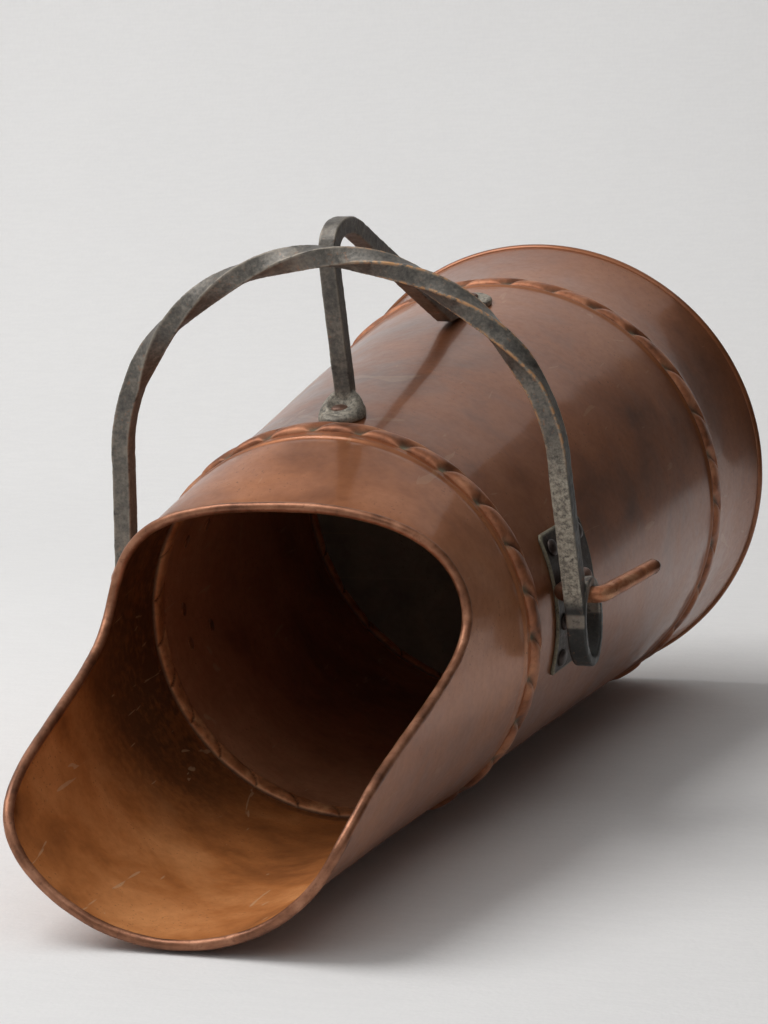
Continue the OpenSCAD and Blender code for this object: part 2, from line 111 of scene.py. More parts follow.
def even_angles(steps):
    return np.arange(steps) * 360.0 / steps


def turned(u, v, angle):
    """Coordinates u and v after a turn from u towards v."""
    return u * cos(angle) - v * sin(angle), u * sin(angle) + v * cos(angle)


def barrel_r(z):
    return MOUTH_R + TAPER * (BARREL_TOP - z)


# The hooks: top of the shank, start of the pin, middle of the bail's eye on it
SHANK_TOP = PIVOT_Z - HOOK_BEND * (1 + sin(TAPER_DEG))
SHANK_X = math.sqrt(barrel_r(SHANK_TOP) ** 2 - PIVOT_Y ** 2) \
    + (EAR_T + 2 * SEAT_GAP + ROD_R + ROD_GAP) / cos(TAPER_DEG)
PIN_X = SHANK_X + HOOK_BEND * cos(TAPER_DEG)
EYE_X = PIN_X + SIDE_GAP + BAIL_BAR / 2


def lumps(points, size, seed):
    """Smooth unevenness from -1 to 1 at each point, size millimetres across."""
    off = Vector([seed * step for step in SEED_STEPS])
    flat = points.reshape(-1, 3) / size
    out = np.array([noise.noise(Vector(p) + off) for p in flat])
    return out.reshape(points.shape[:-1])


# ---- meshes

def finish_piece(obj, material, nodes, body="scuttle", sharp=38):
    """Material, shading and the frame's words for one piece."""
    mesh = obj.data
    mesh.materials.clear()
    mesh.materials.append(material)
    mesh.shade_smooth()
    mesh.set_sharp_from_angle(angle=math.radians(sharp))
    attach(obj, body)
    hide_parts(*nodes)


def turn_outward(mesh, close=False):
    """Points the faces outward, once open ends are closed if asked."""
    bm = bmesh.new()
    bm.from_mesh(mesh)
    if close:
        bmesh.ops.holes_fill(bm, edges=[e for e in bm.edges if e.is_boundary])
    bmesh.ops.recalc_face_normals(bm, faces=bm.faces)
    bm.to_mesh(mesh)
    bm.free()


def set_attr(obj, key, values):
    layer = obj.data.attributes.new(key, "FLOAT", "POINT")
    layer.data.foreach_set("value", np.asarray(values, np.float32).ravel())


def new_object(name, data):
    obj = bpy.data.objects.new(name, data)
    bpy.context.scene.collection.objects.link(obj)
    return obj


def grid_faces(n, m, loop_u, loop_v, start=0):
    i, j = np.meshgrid(np.arange(n if loop_u else n - 1),
                       np.arange(m if loop_v else m - 1), indexing="ij")
    i, j = i.ravel(), j.ravel()
    i2, j2 = (i + 1) % n, (j + 1) % m
    return (start + np.stack([i * m + j, i * m + j2, i2 * m + j2, i2 * m + j], 1)).tolist()


def join_parts(name, parts, attrs=None):
    """One object from several (points, loop_u, loop_v, caps) grids."""
    verts, faces, start = [], [], 0
    for pts, loop_u, loop_v, caps in parts:
        n, m = pts.shape[:2]
        faces += grid_faces(n, m, loop_u, loop_v, start)
        if caps:
            faces += [list(range(k, k + m)) for k in (start, start + (n - 1) * m)]
        verts.append(pts.reshape(-1, 3))
        start += n * m
    mesh = bpy.data.meshes.new(name)
    mesh.from_pydata((np.concatenate(verts) * MM).tolist(), [], faces)
    turn_outward(mesh)
    obj = new_object(name, mesh)
    for key, values in (attrs or {}).items():
        set_attr(obj, key, values)
    return obj


def grid_object(name, pts, loop_u=True, loop_v=True, attrs=None, caps=False):
    return join_parts(name, [(pts, loop_u, loop_v, caps)], attrs)


def fuse(obj, voxel=0.5, rounds=1):
    """Welds an object's parts into one skin, as in the forge, and softens it."""
    rem = obj.modifiers.new("weld", "REMESH")
    rem.mode = "VOXEL"
    rem.voxel_size = voxel * MM
    soft = obj.modifiers.new("soft", "SMOOTH")
    soft.factor = 0.5
    soft.iterations = rounds
    graph = bpy.context.evaluated_depsgraph_get()
    mesh = bpy.data.meshes.new_from_object(obj.evaluated_get(graph))
    obj.modifiers.clear()
    old = obj.data
    obj.data = mesh
    bpy.data.meshes.remove(old)
    return obj


def vertex_values(obj, key):
    """The vertices' co or normal, a row of three for each."""
    flat = np.empty(len(obj.data.vertices) * 3, np.float32)
    obj.data.vertices.foreach_get(key, flat)
    return flat.reshape(-1, 3)


def mesh_points(obj):
    return vertex_values(obj, "co") / MM


def push(obj, depth):
    """Moves each vertex along its normal by depth millimetres."""
    moved = mesh_points(obj) + vertex_values(obj, "normal") * depth[:, None]
    obj.data.vertices.foreach_set("co", (moved * MM).astype(np.float32).ravel())
    obj.data.update()


def run_along(line):
    """Length of the line up to each of its points."""
    return np.r_[0, np.cumsum(np.linalg.norm(np.diff(line, axis=0), axis=1))]


def far_from(points, line, spacing=0.9, chunk=4000):
    """Distance of each point from a middle line, which is read at an even spacing."""
    run = run_along(line)
    even = np.linspace(0, run[-1], int(run[-1] / spacing))
    line = np.stack([np.interp(even, run, line[:, k]) for k in range(3)], 1)
    out = np.empty(len(points))
    for k in range(0, len(points), chunk):
        d = points[k:k + chunk, None, :] - line[None, :, :]
        out[k:k + chunk] = np.sqrt((d * d).sum(2).min(1))
    return out


def rounded_square(half_w, half_t, corner):
    """Section of a bar with rounded corners, going round once."""
    pts = []
    for q, (sx, sy) in enumerate([(1, 1), (-1, 1), (-1, -1), (1, -1)]):
        for k in range(CORNER_STEPS + 1):
            a = 90 * (q + k / CORNER_STEPS)
            pts.append((sx * (half_w - corner) + corner * cos(a),
                        sy * (half_t - corner) + corner * sin(a)))
    return np.array(pts)


def sweep(line, sections, side, turn=None):
    """Carries sections along a line. side is where their first axis points before turning."""
    tan = unit(np.gradient(line, axis=0))
    first = unit(side - (side * tan).sum(1, keepdims=True) * tan)
    second = np.cross(tan, first)
    if turn is not None:
        c, s = cos(turn)[:, None], sin(turn)[:, None]
        first, second = c * first + s * second, c * second - s * first
    return line[:, None, :] + sections[..., 0, None] * first[:, None, :] \
        + sections[..., 1, None] * second[:, None, :]


# ---- sheet copper

def revolve(radius, height, steps):
    """Grid round the body axis. Radii and heights are those of one place or of every place."""
    a = even_angles(steps)
    x, y = cos(a)[:, None] * radius, sin(a)[:, None] * radius
    return np.stack([x, y, np.broadcast_to(height, x.shape)], 2)


def outward(pts, by):
    """Moves points away from the body axis by so many millimetres."""
    r = np.hypot(pts[..., 0], pts[..., 1])[..., None]
    out = pts.copy()
    out[..., :2] += pts[..., :2] / r * by[..., None]
    return out


def beaten(pts, seed, deep=0.45, shallow=0.13, dent=62, mark=17):
    """Unevenness of hand-worked sheet: broad dents and small hammer marks."""
    return deep * lumps(pts, dent, seed) + shallow * lumps(pts, mark, seed + 3)


def sheet_profile(radius, height):
    """Closed profile of a sheet from its outer face, and 1 where it is the inner face."""
    outer = np.stack([radius, height], 1)
    inner = outer[::-1] - [SHEET, 0]
    return np.concatenate([outer, inner]), np.repeat([0.0, 1.0], len(outer))


def make_foot(mat):
    """Flared foot, with a small bead worked in under the rope band."""
    top, true_edge = FOOT_H - ROPE_H / 2, 12
    bead, bead_drop, bead_w = 0.5, 3.2, 1.2
    u = np.linspace(0, 1, 34)
    radius = BASE_R + (FOOT_EDGE_R + SHEET / 2 - BASE_R) * (1 - u) ** FOOT_FLARE
    height = FOOT_LOW + (top - FOOT_LOW) * u
    prof, inside = sheet_profile(radius + bead * bell(height, top - bead_drop, bead_w), height)
    pts = revolve(*prof.T, FOOT_STEPS)
    fade = smooth(prof[:, 1], FOOT_LOW, FOOT_LOW + true_edge)
    pts = outward(pts, beaten(pts, 1, 0.5, 0.12) * fade)
    obj = grid_object("foot_sheet", pts, attrs={"inside": np.tile(inside, FOOT_STEPS)})
    finish_piece(obj, mat, ["foot"])


def make_roll(mat):
    """Rolled edge round the foot, worn flat below, with its open seam under and outside."""
    seam_end, seam_start, worn_z = -42, 290, 0.05
    w = np.r_[np.arange(seam_end, seam_start, 12.0), seam_start]
    outer, inner = (np.stack([FOOT_EDGE_R + r * cos(w), ROLL_Z + r * sin(w)], 1)
                    for r in (ROLL_R, ROLL_R - SHEET))
    pts = revolve(*np.concatenate([outer, inner[::-1]]).T, FOOT_STEPS)
    pts = outward(pts, 0.12 * lumps(pts, 24, 8))
    pts[..., 2] = np.maximum(pts[..., 2], worn_z + 0.1 * lumps(pts, 30, 4))
    obj = grid_object("foot_rolled_edge", pts)
    finish_piece(obj, mat, ["foot_roll"])


def make_barrel(mat):
    """Tapered barrel, with a ledge worked in over the lower rope band."""
    ledge, ledge_rise, ledge_w, true_edge = 1.1, 1.4, 1.5, 14
    z = np.concatenate([np.linspace(BASE_TOP, BASE_TOP + 6, 9),
                        np.linspace(BASE_TOP + 10, BARREL_TOP - 8, 52),
                        np.linspace(BARREL_TOP - 6, BARREL_TOP, 7)])
    prof, inside = sheet_profile(barrel_r(z) + ledge * bell(z, BASE_TOP + ledge_rise, ledge_w), z)
    pts = revolve(*prof.T, BARREL_STEPS)
    fade = smooth(prof[:, 1], BASE_TOP, BASE_TOP + true_edge) \
        * smooth(-prof[:, 1], -BARREL_TOP, -BARREL_TOP + true_edge)
    # kept true where the ear plates and the handle's pads sit
    seat = np.minimum(smooth(np.abs(pts[..., 1]), 42, 60),
                      smooth(np.hypot(pts[..., 0], (pts[..., 1] - 110) * 0.5), 14, 30))
    pts = outward(pts, beaten(pts, 2) * fade * (0.1 + 0.9 * seat))
    obj = grid_object("barrel_sheet", pts, attrs={"inside": np.tile(inside, BARREL_STEPS)})
    finish_piece(obj, mat, ["barrel"])


def make_bottom(mat):
    """Dished bottom with a turned-down flange, a little uneven."""
    edge = BASE_R - SHEET - 2 * SEAT_GAP
    top, flange, bend_r, sag, centre_r = FOOT_H + SHEET, 5.0, 2.0, 0.7, 1.0
    across = np.linspace(centre_r, edge - bend_r - 0.4, 46)
    bend = np.linspace(0, 90, 7)
    faces = []
    for inset in (0, SHEET):
        r = bend_r - inset
        faces.append(np.concatenate([
            np.stack([across, np.full_like(across, top - inset)], 1),
            np.stack([edge - bend_r + r * sin(bend), top - bend_r + r * cos(bend)], 1),
            [[edge - inset, top - flange]]]))
    prof = np.concatenate([faces[0], faces[1][::-1]])
    pts = revolve(*prof.T, BOTTOM_STEPS)
    uneven = 0.5 * lumps(pts, 48, 12) + 0.2 * lumps(pts, 14, 13)
    pts[..., 2] += smooth(-np.hypot(pts[..., 0], pts[..., 1]), -edge + 4, -60) * (uneven - sag)
    obj = grid_object("bottom_disc", pts)
    finish_piece(obj, mat, ["bottom_plate"])


def strand_lead(w):
    """How far a strand's edge has run on at the share w from the mouth's side."""
    return 0.44 * w ** 1.7 + 0.46 * w ** 9


def make_rope(name, node, r, z, strand, mat, seed):
    """Rope band: overlapping leaf-shaped strands outside, plainer ones inside."""
    count = int(round(2 * math.pi * r / strand))
    a = even_angles(count * STRAND_STEPS)[:, None]
    w_out = 0.5 - 0.5 * np.cos(np.linspace(0, np.pi, 25))
    w_in = w_out[::-1][::2]
    rise_in = 2.8

    def strand_at(w):
        """Place across its strand, 0 to 1, at every angle and share w of the height."""
        uneven = 0.05 * np.sin(np.radians(a * 5 + seed * 40))
        return (uneven - a * count / 360.0 - strand_lead(w)) % 1.0

    # a strand is round across the band, crowned, stepped at one edge, tucked in at the other
    t = strand_at(w_out)
    round_up = np.clip(1 - np.abs(2 * w_out - 1) ** 3.4, 0, 1) ** 0.58
    crown = 0.62 + 0.38 * np.sin(np.pi * t) ** 0.6
    step = 1 - np.exp(-(t / 0.055) ** 1.6)
    notch = bell(np.minimum(t, 1 - t), 0, 0.12) * smooth(-w_out, -0.62, -0.08)
    tuck = (1 - 0.6 * bell(t, 1, 0.13)) * (1 - 0.75 * notch)
    relief = ROPE_RISE * round_up * crown * (0.12 + 0.88 * step) * tuck
    brim = 0.55 * bell(w_out, 0.93, 0.05) * step
    t_in = strand_at(w_in)
    in_round = np.clip(1 - np.abs(2 * w_in - 1) ** 4, 0, 1) ** 0.6
    in_step = 1 - np.exp(-(t_in / 0.06) ** 1.5)
    relief_in = rise_in * in_round * (0.4 + 0.6 * in_step) * (0.86 + 0.14 * np.sin(np.pi * t_in))
    radius = np.concatenate([r + 0.12 + relief + brim, r - SHEET - relief_in], 1)
    height = z + ROPE_H / 2 - ROPE_H * np.r_[w_out, w_in]
    pts = revolve(radius, height, count * STRAND_STEPS)
    pts = outward(pts, 0.14 * lumps(pts, 9, seed) * smooth(radius, r - 1, r + 0.5))
    # seam: painted shadow in the grooves where each strand steps over the next
    seam = bell(t, 0, 0.045) + 0.8 * bell(t, 1, 0.07)
    # painted highlight: a light line along the band's lower edge and another just past each
    # strand's step
    painted_highlight = bell(w_out, 0.94, 0.035) * (0.35 + 0.65 * step) \
        + 0.8 * bell(t, 0.075, 0.028) * smooth(w_out, 0.1, 0.5)
    # seam_in: painted shadow at the inner strands' steps and in the creases along the inner band's
    # edges
    seam_in = np.maximum(bell(t_in, 0, 0.05), bell(np.minimum(w_in, 1 - w_in), 0, 0.04))
    none, none_in = np.zeros_like(t), np.zeros_like(t_in)
    attrs = {"recess": (notch ** 1.5, none_in), "seam": (np.clip(seam, 0, 1), seam_in),
             "painted_highlight": (np.clip(painted_highlight, 0, 1), none_in), "inside": (none, none_in + 1)}
    obj = grid_object(name, pts,
                      attrs={key: np.concatenate(pair, 1) for key, pair in attrs.items()})
    finish_piece(obj, mat, [node], sharp=60)


def fold(a):
    """Angle from the sides, -90 at the lip and 90 at the back, the same left and right."""
    return np.degrees(np.arcsin(np.clip(sin(a), -1, 1)))


def rim_h(a):
    """Height of the rim over the band."""
    e = fold(a)
    u = (TURN_AT - e) / TURN_SOFT
    return SIDE_H + (LIP_H - SIDE_H) / (1 + np.exp(-2 * u)) \
        + (BACK_H - SIDE_H) * smooth(e, 20, 65)


def scoop_r(a, h):
    """Sum and power of the rounded section at height h: its radius is sum ** (-1 / power)."""
    back = fold(a) >= 0
    up = h / LIP_H
    rise = np.minimum(1, h / BACK_H)
    wide = LIP_W / 2 + (MOUTH_R - LIP_W / 2) * (1 - up) ** 2
    deep = np.where(back, MOUTH_R + (BACK_REACH - MOUTH_R) * rise,
                    MOUTH_R + (LIP_REACH - MOUTH_R) * up)
    n = np.where(back, 2 + (BACK_SQUARE - 2) * rise, 2.0)
    return (np.abs(cos(a)) / wide) ** n + (np.abs(sin(a)) / deep) ** n, n


def on_scoop(a, h, inset):
    s, n = scoop_r(a, h)
    r = s ** (-1 / n) - inset
    return np.stack([r * cos(a), r * sin(a), SCOOP_Z + h], -1)


def columns(count):
    """Angles round the scoop, closer together where its rim climbs."""
    u = even_angles(count)
    return u - COL_PULL * sin(2 * u)


def scoop_wave(pts):
    """Unevenness of the scoop's sheet, none at the band."""
    return beaten(pts, 21, 0.55, 0.16, 55, 15) * smooth(pts[..., 2], SCOOP_Z + 2, SCOOP_Z + 30)


def make_scoop(mat):
    """Neck and lip in one sheet, with a crease where the neck leaves the band."""
    a = columns(SCOOP_STEPS)
    rows = np.r_[np.linspace(0, 0.12, 12), np.linspace(0.145, 1, 64)]
    h = rim_h(a)[:, None] * rows
    faces = [on_scoop(np.broadcast_to(a[:, None], h.shape), h, inset) for inset in (0.0, SHEET)]
    move = scoop_wave(faces[0]) + 0.55 * bell(h, 4.2, 1.1) - 0.35 * bell(h, 6.6, 1.4)
    outer, inner = (outward(face, move) for face in faces)
    pts = np.concatenate([outer, inner[:, ::-1]], 1)
    inside = np.concatenate([np.zeros(h.shape), np.ones(h.shape)], 1)
    # painted shade: the inside darkens on the lower left wall, turned from the light, and all
    # round in the crease just above the band
    up = pts[..., 2] - SCOOP_Z
    painted_shade = inside * np.maximum(smooth(-pts[..., 0], 15, 85) * smooth(-up, -150, -40),
                               0.8 * smooth(-up, -9, -1))
    obj = grid_object("scoop_sheet", pts, attrs={"inside": inside, "painted_shade": painted_shade})
    finish_piece(obj, mat, ["scoop"])


def make_rim(mat):
    """Wired roll along the mouth and lip, with its open seam outside and under."""
    a = columns(RIM_STEPS)
    line = on_scoop(a, rim_h(a), SHEET / 2)
    line = outward(line, scoop_wave(line))
    along = unit(np.roll(line, -1, 0) - np.roll(line, 1, 0))
    radial = np.stack([cos(a), sin(a), np.zeros(RIM_STEPS)], 1)
    past = unit(np.cross(radial, along))
    out = unit(np.cross(along, past))
    mid = line + ROLL_R * FLAT_COS * past
    seam_end, seam_start = -11.25, 288.75
    w = np.linspace(seam_end, seam_start, 27)
    size = ROLL_R * (0.94 + 0.05 * lumps(mid, 13, 31) + 0.04 * lumps(mid, 33, 32))
    rings = []
    for inset, turn in ((0, w), (SHEET, w[::-1])):
        way = cos(turn)[:, None] * out[:, None, :] + sin(turn)[:, None] * past[:, None, :]
        rings.append(mid[:, None, :] + (size - inset)[:, None, None] * way)
    pts = np.concatenate(rings, 1)
    pts = pts + 0.10 * lumps(pts, 5, 35)[..., None] * unit(pts - mid[:, None, :])
    obj = grid_object("rim_bead", pts)
    finish_piece(obj, mat, ["rim_roll"])


# ---- iron

def arch_at(t):
    """Places across and along on the bail's arch, at t from 0 to 180 degrees."""
    power = 2 / ARCH_FULL
    return (-BAIL_W / 2 * np.sign(cos(t)) * np.abs(cos(t)) ** power,
            BAIL_LEG_H + (BAIL_REACH - BAIL_LEG_H) * np.abs(sin(t)) ** power)


def bail_path():
    """Middle line of the bail, eye to eye, its turn, and its half thickness there."""
    t = np.linspace(0, 180, ARCH_SAMPLES)
    x, y = arch_at(t)
    u = np.linspace(0, 1, BAIL_LEG_SAMPLES + 1)[:-1]
    leg_x = -(EYE_X + (BAIL_W / 2 - EYE_X) * u)
    leg_y = -EYE_DROP + (BAIL_LEG_H + EYE_DROP) * u
    xs = np.r_[leg_x, x, -leg_x[::-1]]
    ys = np.r_[leg_y, y, leg_y[::-1]]
    twisted = np.clip((t / 180 - PLAIN_ENDS) / (1 - 2 * PLAIN_ENDS), 0, 1)
    turn = np.r_[np.zeros(BAIL_LEG_SAMPLES), twisted, np.ones(BAIL_LEG_SAMPLES)] * -BAIL_TWIST
    # the bar thins into the front wall of the eye, clear of its hole
    hole = HOLE_B * np.sqrt(np.clip(1 - ((ys + EYE_DROP) / HOLE_A) ** 2, 0, 1))
    front, hole_gap = BAIL_SET + BAIL_BAR / 2, 0.5
    behind = np.maximum(BAIL_SET - BAIL_BAR / 2, hole + hole_gap)
    line = np.stack([xs, ys, (front + behind) / 2], 1)
    return line, turn, (front - behind) / 2


def bail_lean():
    """Angle at which the resting bail lies on the rear handle's leg."""
    x, y = arch_at(np.array([90.0 * (ARCH_N - 1) / ARCH_N, 90.0]))
    twist_steps = 2 * ARCH_N * (1 - 2 * PLAIN_ENDS)
    turn = BAIL_TWIST / twist_steps * HANDLE_BAR / 2 / math.hypot(x[1] - x[0], y[1] - y[0])
    depth = BAIL_BAR / math.sqrt(2) * sin(45 + turn) - BAIL_SET
    reach = BAIL_REACH - BAIL_BAR / 2
    lift = LEG_Z + HANDLE_BAR / 2 + REST_GAP - PIVOT_Z
    return math.degrees(math.asin(lift / math.hypot(reach, depth)) + math.atan(depth / reach))


def place_bail(pts):
    """Leans points of the flat bail round its pins."""
    y, z = turned(pts[..., 1], pts[..., 2], bail_lean())
    return np.stack([pts[..., 0], y + PIVOT_Y, z + PIVOT_Z], -1)


def make_bail(mat):
    """Twisted bar welded to its two eyes, with worn edges and the crust of the photo."""
    line, turn, half_t = bail_path()
    bar_corner, eye_corner = 0.6, 1.0
    sections = [rounded_square(t, BAIL_BAR / 2, min(bar_corner, t / 3)) for t in half_t]
    parts = [(sweep(line, np.array(sections), Z_AXIS, turn), False, True, True)]
    ring_x, ring_out = rounded_square(BAIL_BAR / 2, EYE_WALL / 2, eye_corner).T
    grown = EYE_WALL / 2 + ring_out
    a = even_angles(EYE_STEPS)[:, None]
    y, z = (HOLE_A + grown) * cos(a) - EYE_DROP, (HOLE_B + grown) * sin(a)
    parts += [(np.stack([np.broadcast_to(s * EYE_X + ring_x, y.shape), y, z], 2),
               True, True, False) for s in (-1, 1)]
    obj = fuse(join_parts("bail_bar", [(place_bail(p), *kind) for p, *kind in parts]))
    pts = mesh_points(obj)
    half = BAIL_BAR / 2
    edge = smooth(far_from(pts, place_bail(line)), half * 1.2, half * 1.34)
    back = pts[:, 1] - PIVOT_Y
    ringed = smooth(-back, -4, 4)
    right, left = smooth(pts[:, 0], 60, 90), smooth(-pts[:, 0], 60, 90)
    low = smooth(-back, -92, -52)
    faces_mouth = smooth(vertex_values(obj, "normal")[:, 2], 0.45, 0.8)
    # painted sheen: a light band on the right eye's face towards the mouth, standing for its
    # reflection of the light from above; it goes into the edge mask
    painted_sheen = right * faces_mouth * smooth(-back, 5.5, 7.5) * smooth(back, -13.5, -11.5)
    push(obj, 0.16 * lumps(pts, 6, 41) + 0.10 * lumps(pts, 2.4, 43))
    set_attr(obj, "edge", np.clip(edge * (1 - ringed) + 1.3 * painted_sheen, 0, 1))
    set_attr(obj, "crust", (right * faces_mouth + 0.15 * left) * low * (1 - ringed))
    set_attr(obj, "fleck", edge * smooth(pts[:, 0], 5, 40) * smooth(back, 60, 84))
    # shade: darker eyes, and painted shade on the right leg's lower faces turned from the mouth
    set_attr(obj, "shade", np.maximum(ringed * (1 - painted_sheen),
                                      0.8 * right * low * (1 - smooth(faces_mouth, 0, 0.4))))
    finish_piece(obj, mat, ["bail"], body="bail", sharp=50)


def handle_path():
    """Middle line of the rear handle in the plane x = 0, as [y, z, half thickness] rows."""
    half, sink = HANDLE_BAR / 2, 1.5
    turn_1, turn_2 = 80.0, 90.0 + HANDLE_SLOPE
    top = np.array([HANDLE_REACH - TOP_BEND, LEG_Z])
    b1 = np.array([top + TOP_BEND * np.array([sin(w), cos(w) - 1])
                   for w in np.linspace(0, turn_1, 15)])
    mid = b1[-1] - SHOULDER_BEND * np.array([sin(turn_1), cos(turn_1)])
    b2 = np.array([mid + SHOULDER_BEND * np.array([sin(w), cos(w)])
                   for w in np.linspace(turn_1, turn_2, 13)[1:]])
    run_top = b2[-1]
    run_l = (run_top[0] - barrel_r(run_top[1]) - half - KNEE_GAP) \
        / (sin(HANDLE_SLOPE) + TAPER * cos(HANDLE_SLOPE))
    run_low = run_top - run_l * np.array([sin(HANDLE_SLOPE), cos(HANDLE_SLOPE)])

    def low_leg(u, thick, lift):
        z = run_low[1] - LOW_LEG_L * u
        return np.array([barrel_r(z) + SEAT_GAP + lift + thick / 2, z, thick / 2])

    start = np.array([barrel_r(LEG_FOOT_Z) + sink, LEG_FOOT_Z])
    rows = [[*(start + (b1[0] - start) * u), half] for u in (0, *np.linspace(0.12, 0.9, 9))]
    rows += [[*p, half] for p in (*b1, *b2)]
    rows += [[*(run_top + (run_low - run_top) * u), half] for u in np.linspace(0.08, 0.94, 14)]
    # the lower leg thins from the bar into its pad
    knee = [np.array([*run_low, half])] + [low_leg(*q) for q in (
        (0.25, HANDLE_BAR * 0.97, sink), (0.55, HANDLE_BAR * 0.75, 0.4),
        (0.8, (HANDLE_BAR * 0.5 + PAD_T) / 2, 0), (1, PAD_T - 2 * SEAT_GAP, 0))]
    for p, q in zip(knee[:-1], knee[1:]):
        rows += [p + (q - p) * u for u in np.linspace(0, 1, 7)[:-1]]
    return np.array([*rows, knee[-1]]), run_low[1] - LOW_LEG_L


def handle_feet():
    """Heights of the handle's rivets and of its pads, each the upper one first."""
    _, low_foot_z = handle_path()
    slope = math.atan(LEG_LEAN / (HANDLE_REACH - TOP_BEND - barrel_r(LEG_FOOT_Z)))
    rivet_z = LEG_FOOT_Z + HANDLE_BAR / 2 / math.cos(slope) \
        + (PAD_T + RIVET_HEAD_H) * math.tan(slope) + RIVET_HEAD_R + REST_GAP
    pad_z = min(rivet_z - PAD_L / 12, BARREL_TOP - PAD_L / 2 - REST_GAP)
    return (rivet_z, low_foot_z), (pad_z, low_foot_z)


def pad_grid(z_mid, rivet_z, hump):
    """Leaf-shaped foot pad, rising by hump towards its leg, with a hollow for its rivet."""
    hollow_r = 5.6
    u = even_angles(PAD_STEPS)
    rim_x = PAD_W / 2 * sin(u) * (0.75 + 0.25 * np.abs(sin(u)))
    rim_z = PAD_L / 2 * cos(u)
    rings = []
    layers = [(0.02, 0.0), (0.6, 0.0), (0.97, 0.0), (1.0, 0.25), (1.0, 0.6), (0.97, 0.86)]
    layers += [(share, 1.0) for share in np.linspace(0.9, 0.02, 16)]
    for share, lift in layers:
        x, z = rim_x * share, z_mid + rim_z * share
        thick = PAD_T * (0.78 + 0.22 * (1 - share ** 2)) - SEAT_GAP
        hollow = np.exp(-(np.hypot(x, z - rivet_z) / hollow_r) ** 4)
        rise = smooth(-z, -rivet_z - 11, -rivet_z + 9) * smooth(z, rivet_z - 20, rivet_z - 12)
        thick = thick + hump * rise * (1 - share ** 4) * (1 - 0.9 * hollow)
        r = barrel_r(z) + SEAT_GAP + lift * thick
        rings.append(np.stack([x, np.sqrt(r ** 2 - x ** 2), z], 1))
    return np.array(rings)


def make_handle(mat):
    """Bent bar welded to its two foot pads."""
    rows, _ = handle_path()
    line = np.stack([np.zeros(len(rows)), rows[:, 0], rows[:, 1]], 1)
    secs = np.array([rounded_square(HANDLE_BAR / 2, t, min(0.9, t * 0.6)) for t in rows[:, 2]])
    rivets, pads = handle_feet()
    obj = fuse(join_parts("rear_handle_bar", [
        (sweep(line, secs, X_AXIS), False, True, True),
        *((pad_grid(z, rivet_z, hump), False, True, True)
          for z, rivet_z, hump in zip(pads, rivets, (8.5, 0)))]))
    pts = mesh_points(obj)
    out = np.hypot(pts[:, 0], pts[:, 1]) - barrel_r(pts[:, 2])
    pad = np.clip(sum(smooth(-np.abs(pts[:, 2] - z), -PAD_L / 2 - 2, -PAD_L / 2 + 5)
                      for z in pads), 0, 1) * smooth(-out, -15, -9)
    seated, thinned = smooth(out, 0.5, 1.4), 0.12
    push(obj, seated * (0.2 * lumps(pts, 6, 51) + 0.1 * lumps(pts, 2.4, 53)
                        + 0.3 * pad * lumps(pts, 5, 55)) - thinned)
    edge = smooth(far_from(pts, line), HANDLE_BAR * 0.6, HANDLE_BAR * 0.67)
    set_attr(obj, "edge", edge * (1 - pad))
    set_attr(obj, "crust", 0.75 * pad)
    finish_piece(obj, mat, ["rear_handle"], sharp=50)


def on_barrel(pts, a, z):
    """Puts points on the barrel, their +Z out of the sheet."""
    out, up = turned(pts[..., 0], pts[..., 2], TAPER_DEG - 90)
    return np.stack([*turned(out + barrel_r(z), pts[..., 1], a), up + z], -1)


def make_rivets(name, node, places, grip, mat):
    """Rivets with beaten domes: places are (angle, height), grip is what they hold."""
    parts, inner_end = [], []
    tail_r, tail_h, centre_r = 3.4, 0.8, 0.05
    below = -SHEET - SEAT_GAP
    head = grip + SEAT_GAP
    u = np.linspace(0, 90, 9)
    dome = np.stack([RIVET_HEAD_R * cos(u) ** 0.8,
                     head + 0.25 + (RIVET_HEAD_H - 0.25) * sin(u)], 1)
    dome[-1, 0] = centre_r
    prof = np.concatenate([
        [[centre_r, below - tail_h - SEAT_GAP], [2.6, below - tail_h - SEAT_GAP],
         [tail_r, below - tail_h + 0.15], [tail_r, below - 0.2], [tail_r - 0.2, below - 0.05],
         [RIVET_R, below - 0.05], [RIVET_R, head], [RIVET_HEAD_R, head]], dome])
    for k, (a, z) in enumerate(places):
        pts = revolve(*prof.T, RIVET_STEPS)
        beat = lumps(pts + 31.7 * k, 3.2, 61 + k)
        pts[..., 2] -= 0.16 * np.abs(beat) * smooth(pts[..., 2], head + 0.3, head + 1.2)
        pts[..., :2] *= (1 + 0.03 * lumps(pts + 9.3 * k, 6, 71))[..., None]
        parts.append((on_barrel(pts, a, z), True, False, False))
        inner_end.append(pts[..., 2].ravel() < 0)
    obj = join_parts(name, parts, {"tip": np.concatenate(inner_end)})
    turn_outward(obj.data, close=True)
    finish_piece(obj, mat, [node])


def ear_places(side):
    """Angles and heights of an ear plate's rivets, the hook's place left free."""
    spots = [(k * RIVET_STEP, EAR_DROP + RIVET_EDGE) for k in (-1.5, -0.5, 1.5)]
    spots += [(s * (EAR_W / 2 - RIVET_EDGE), EAR_DROP + EAR_H - RIVET_EDGE) for s in (-1, 1)]
    out = []
    for y, drop in spots:
        z = BAND_Z - drop
        a = math.degrees(math.asin((EAR_Y + y) / barrel_r(z)))
        out.append((a if side > 0 else 180 - a, z))
    return out


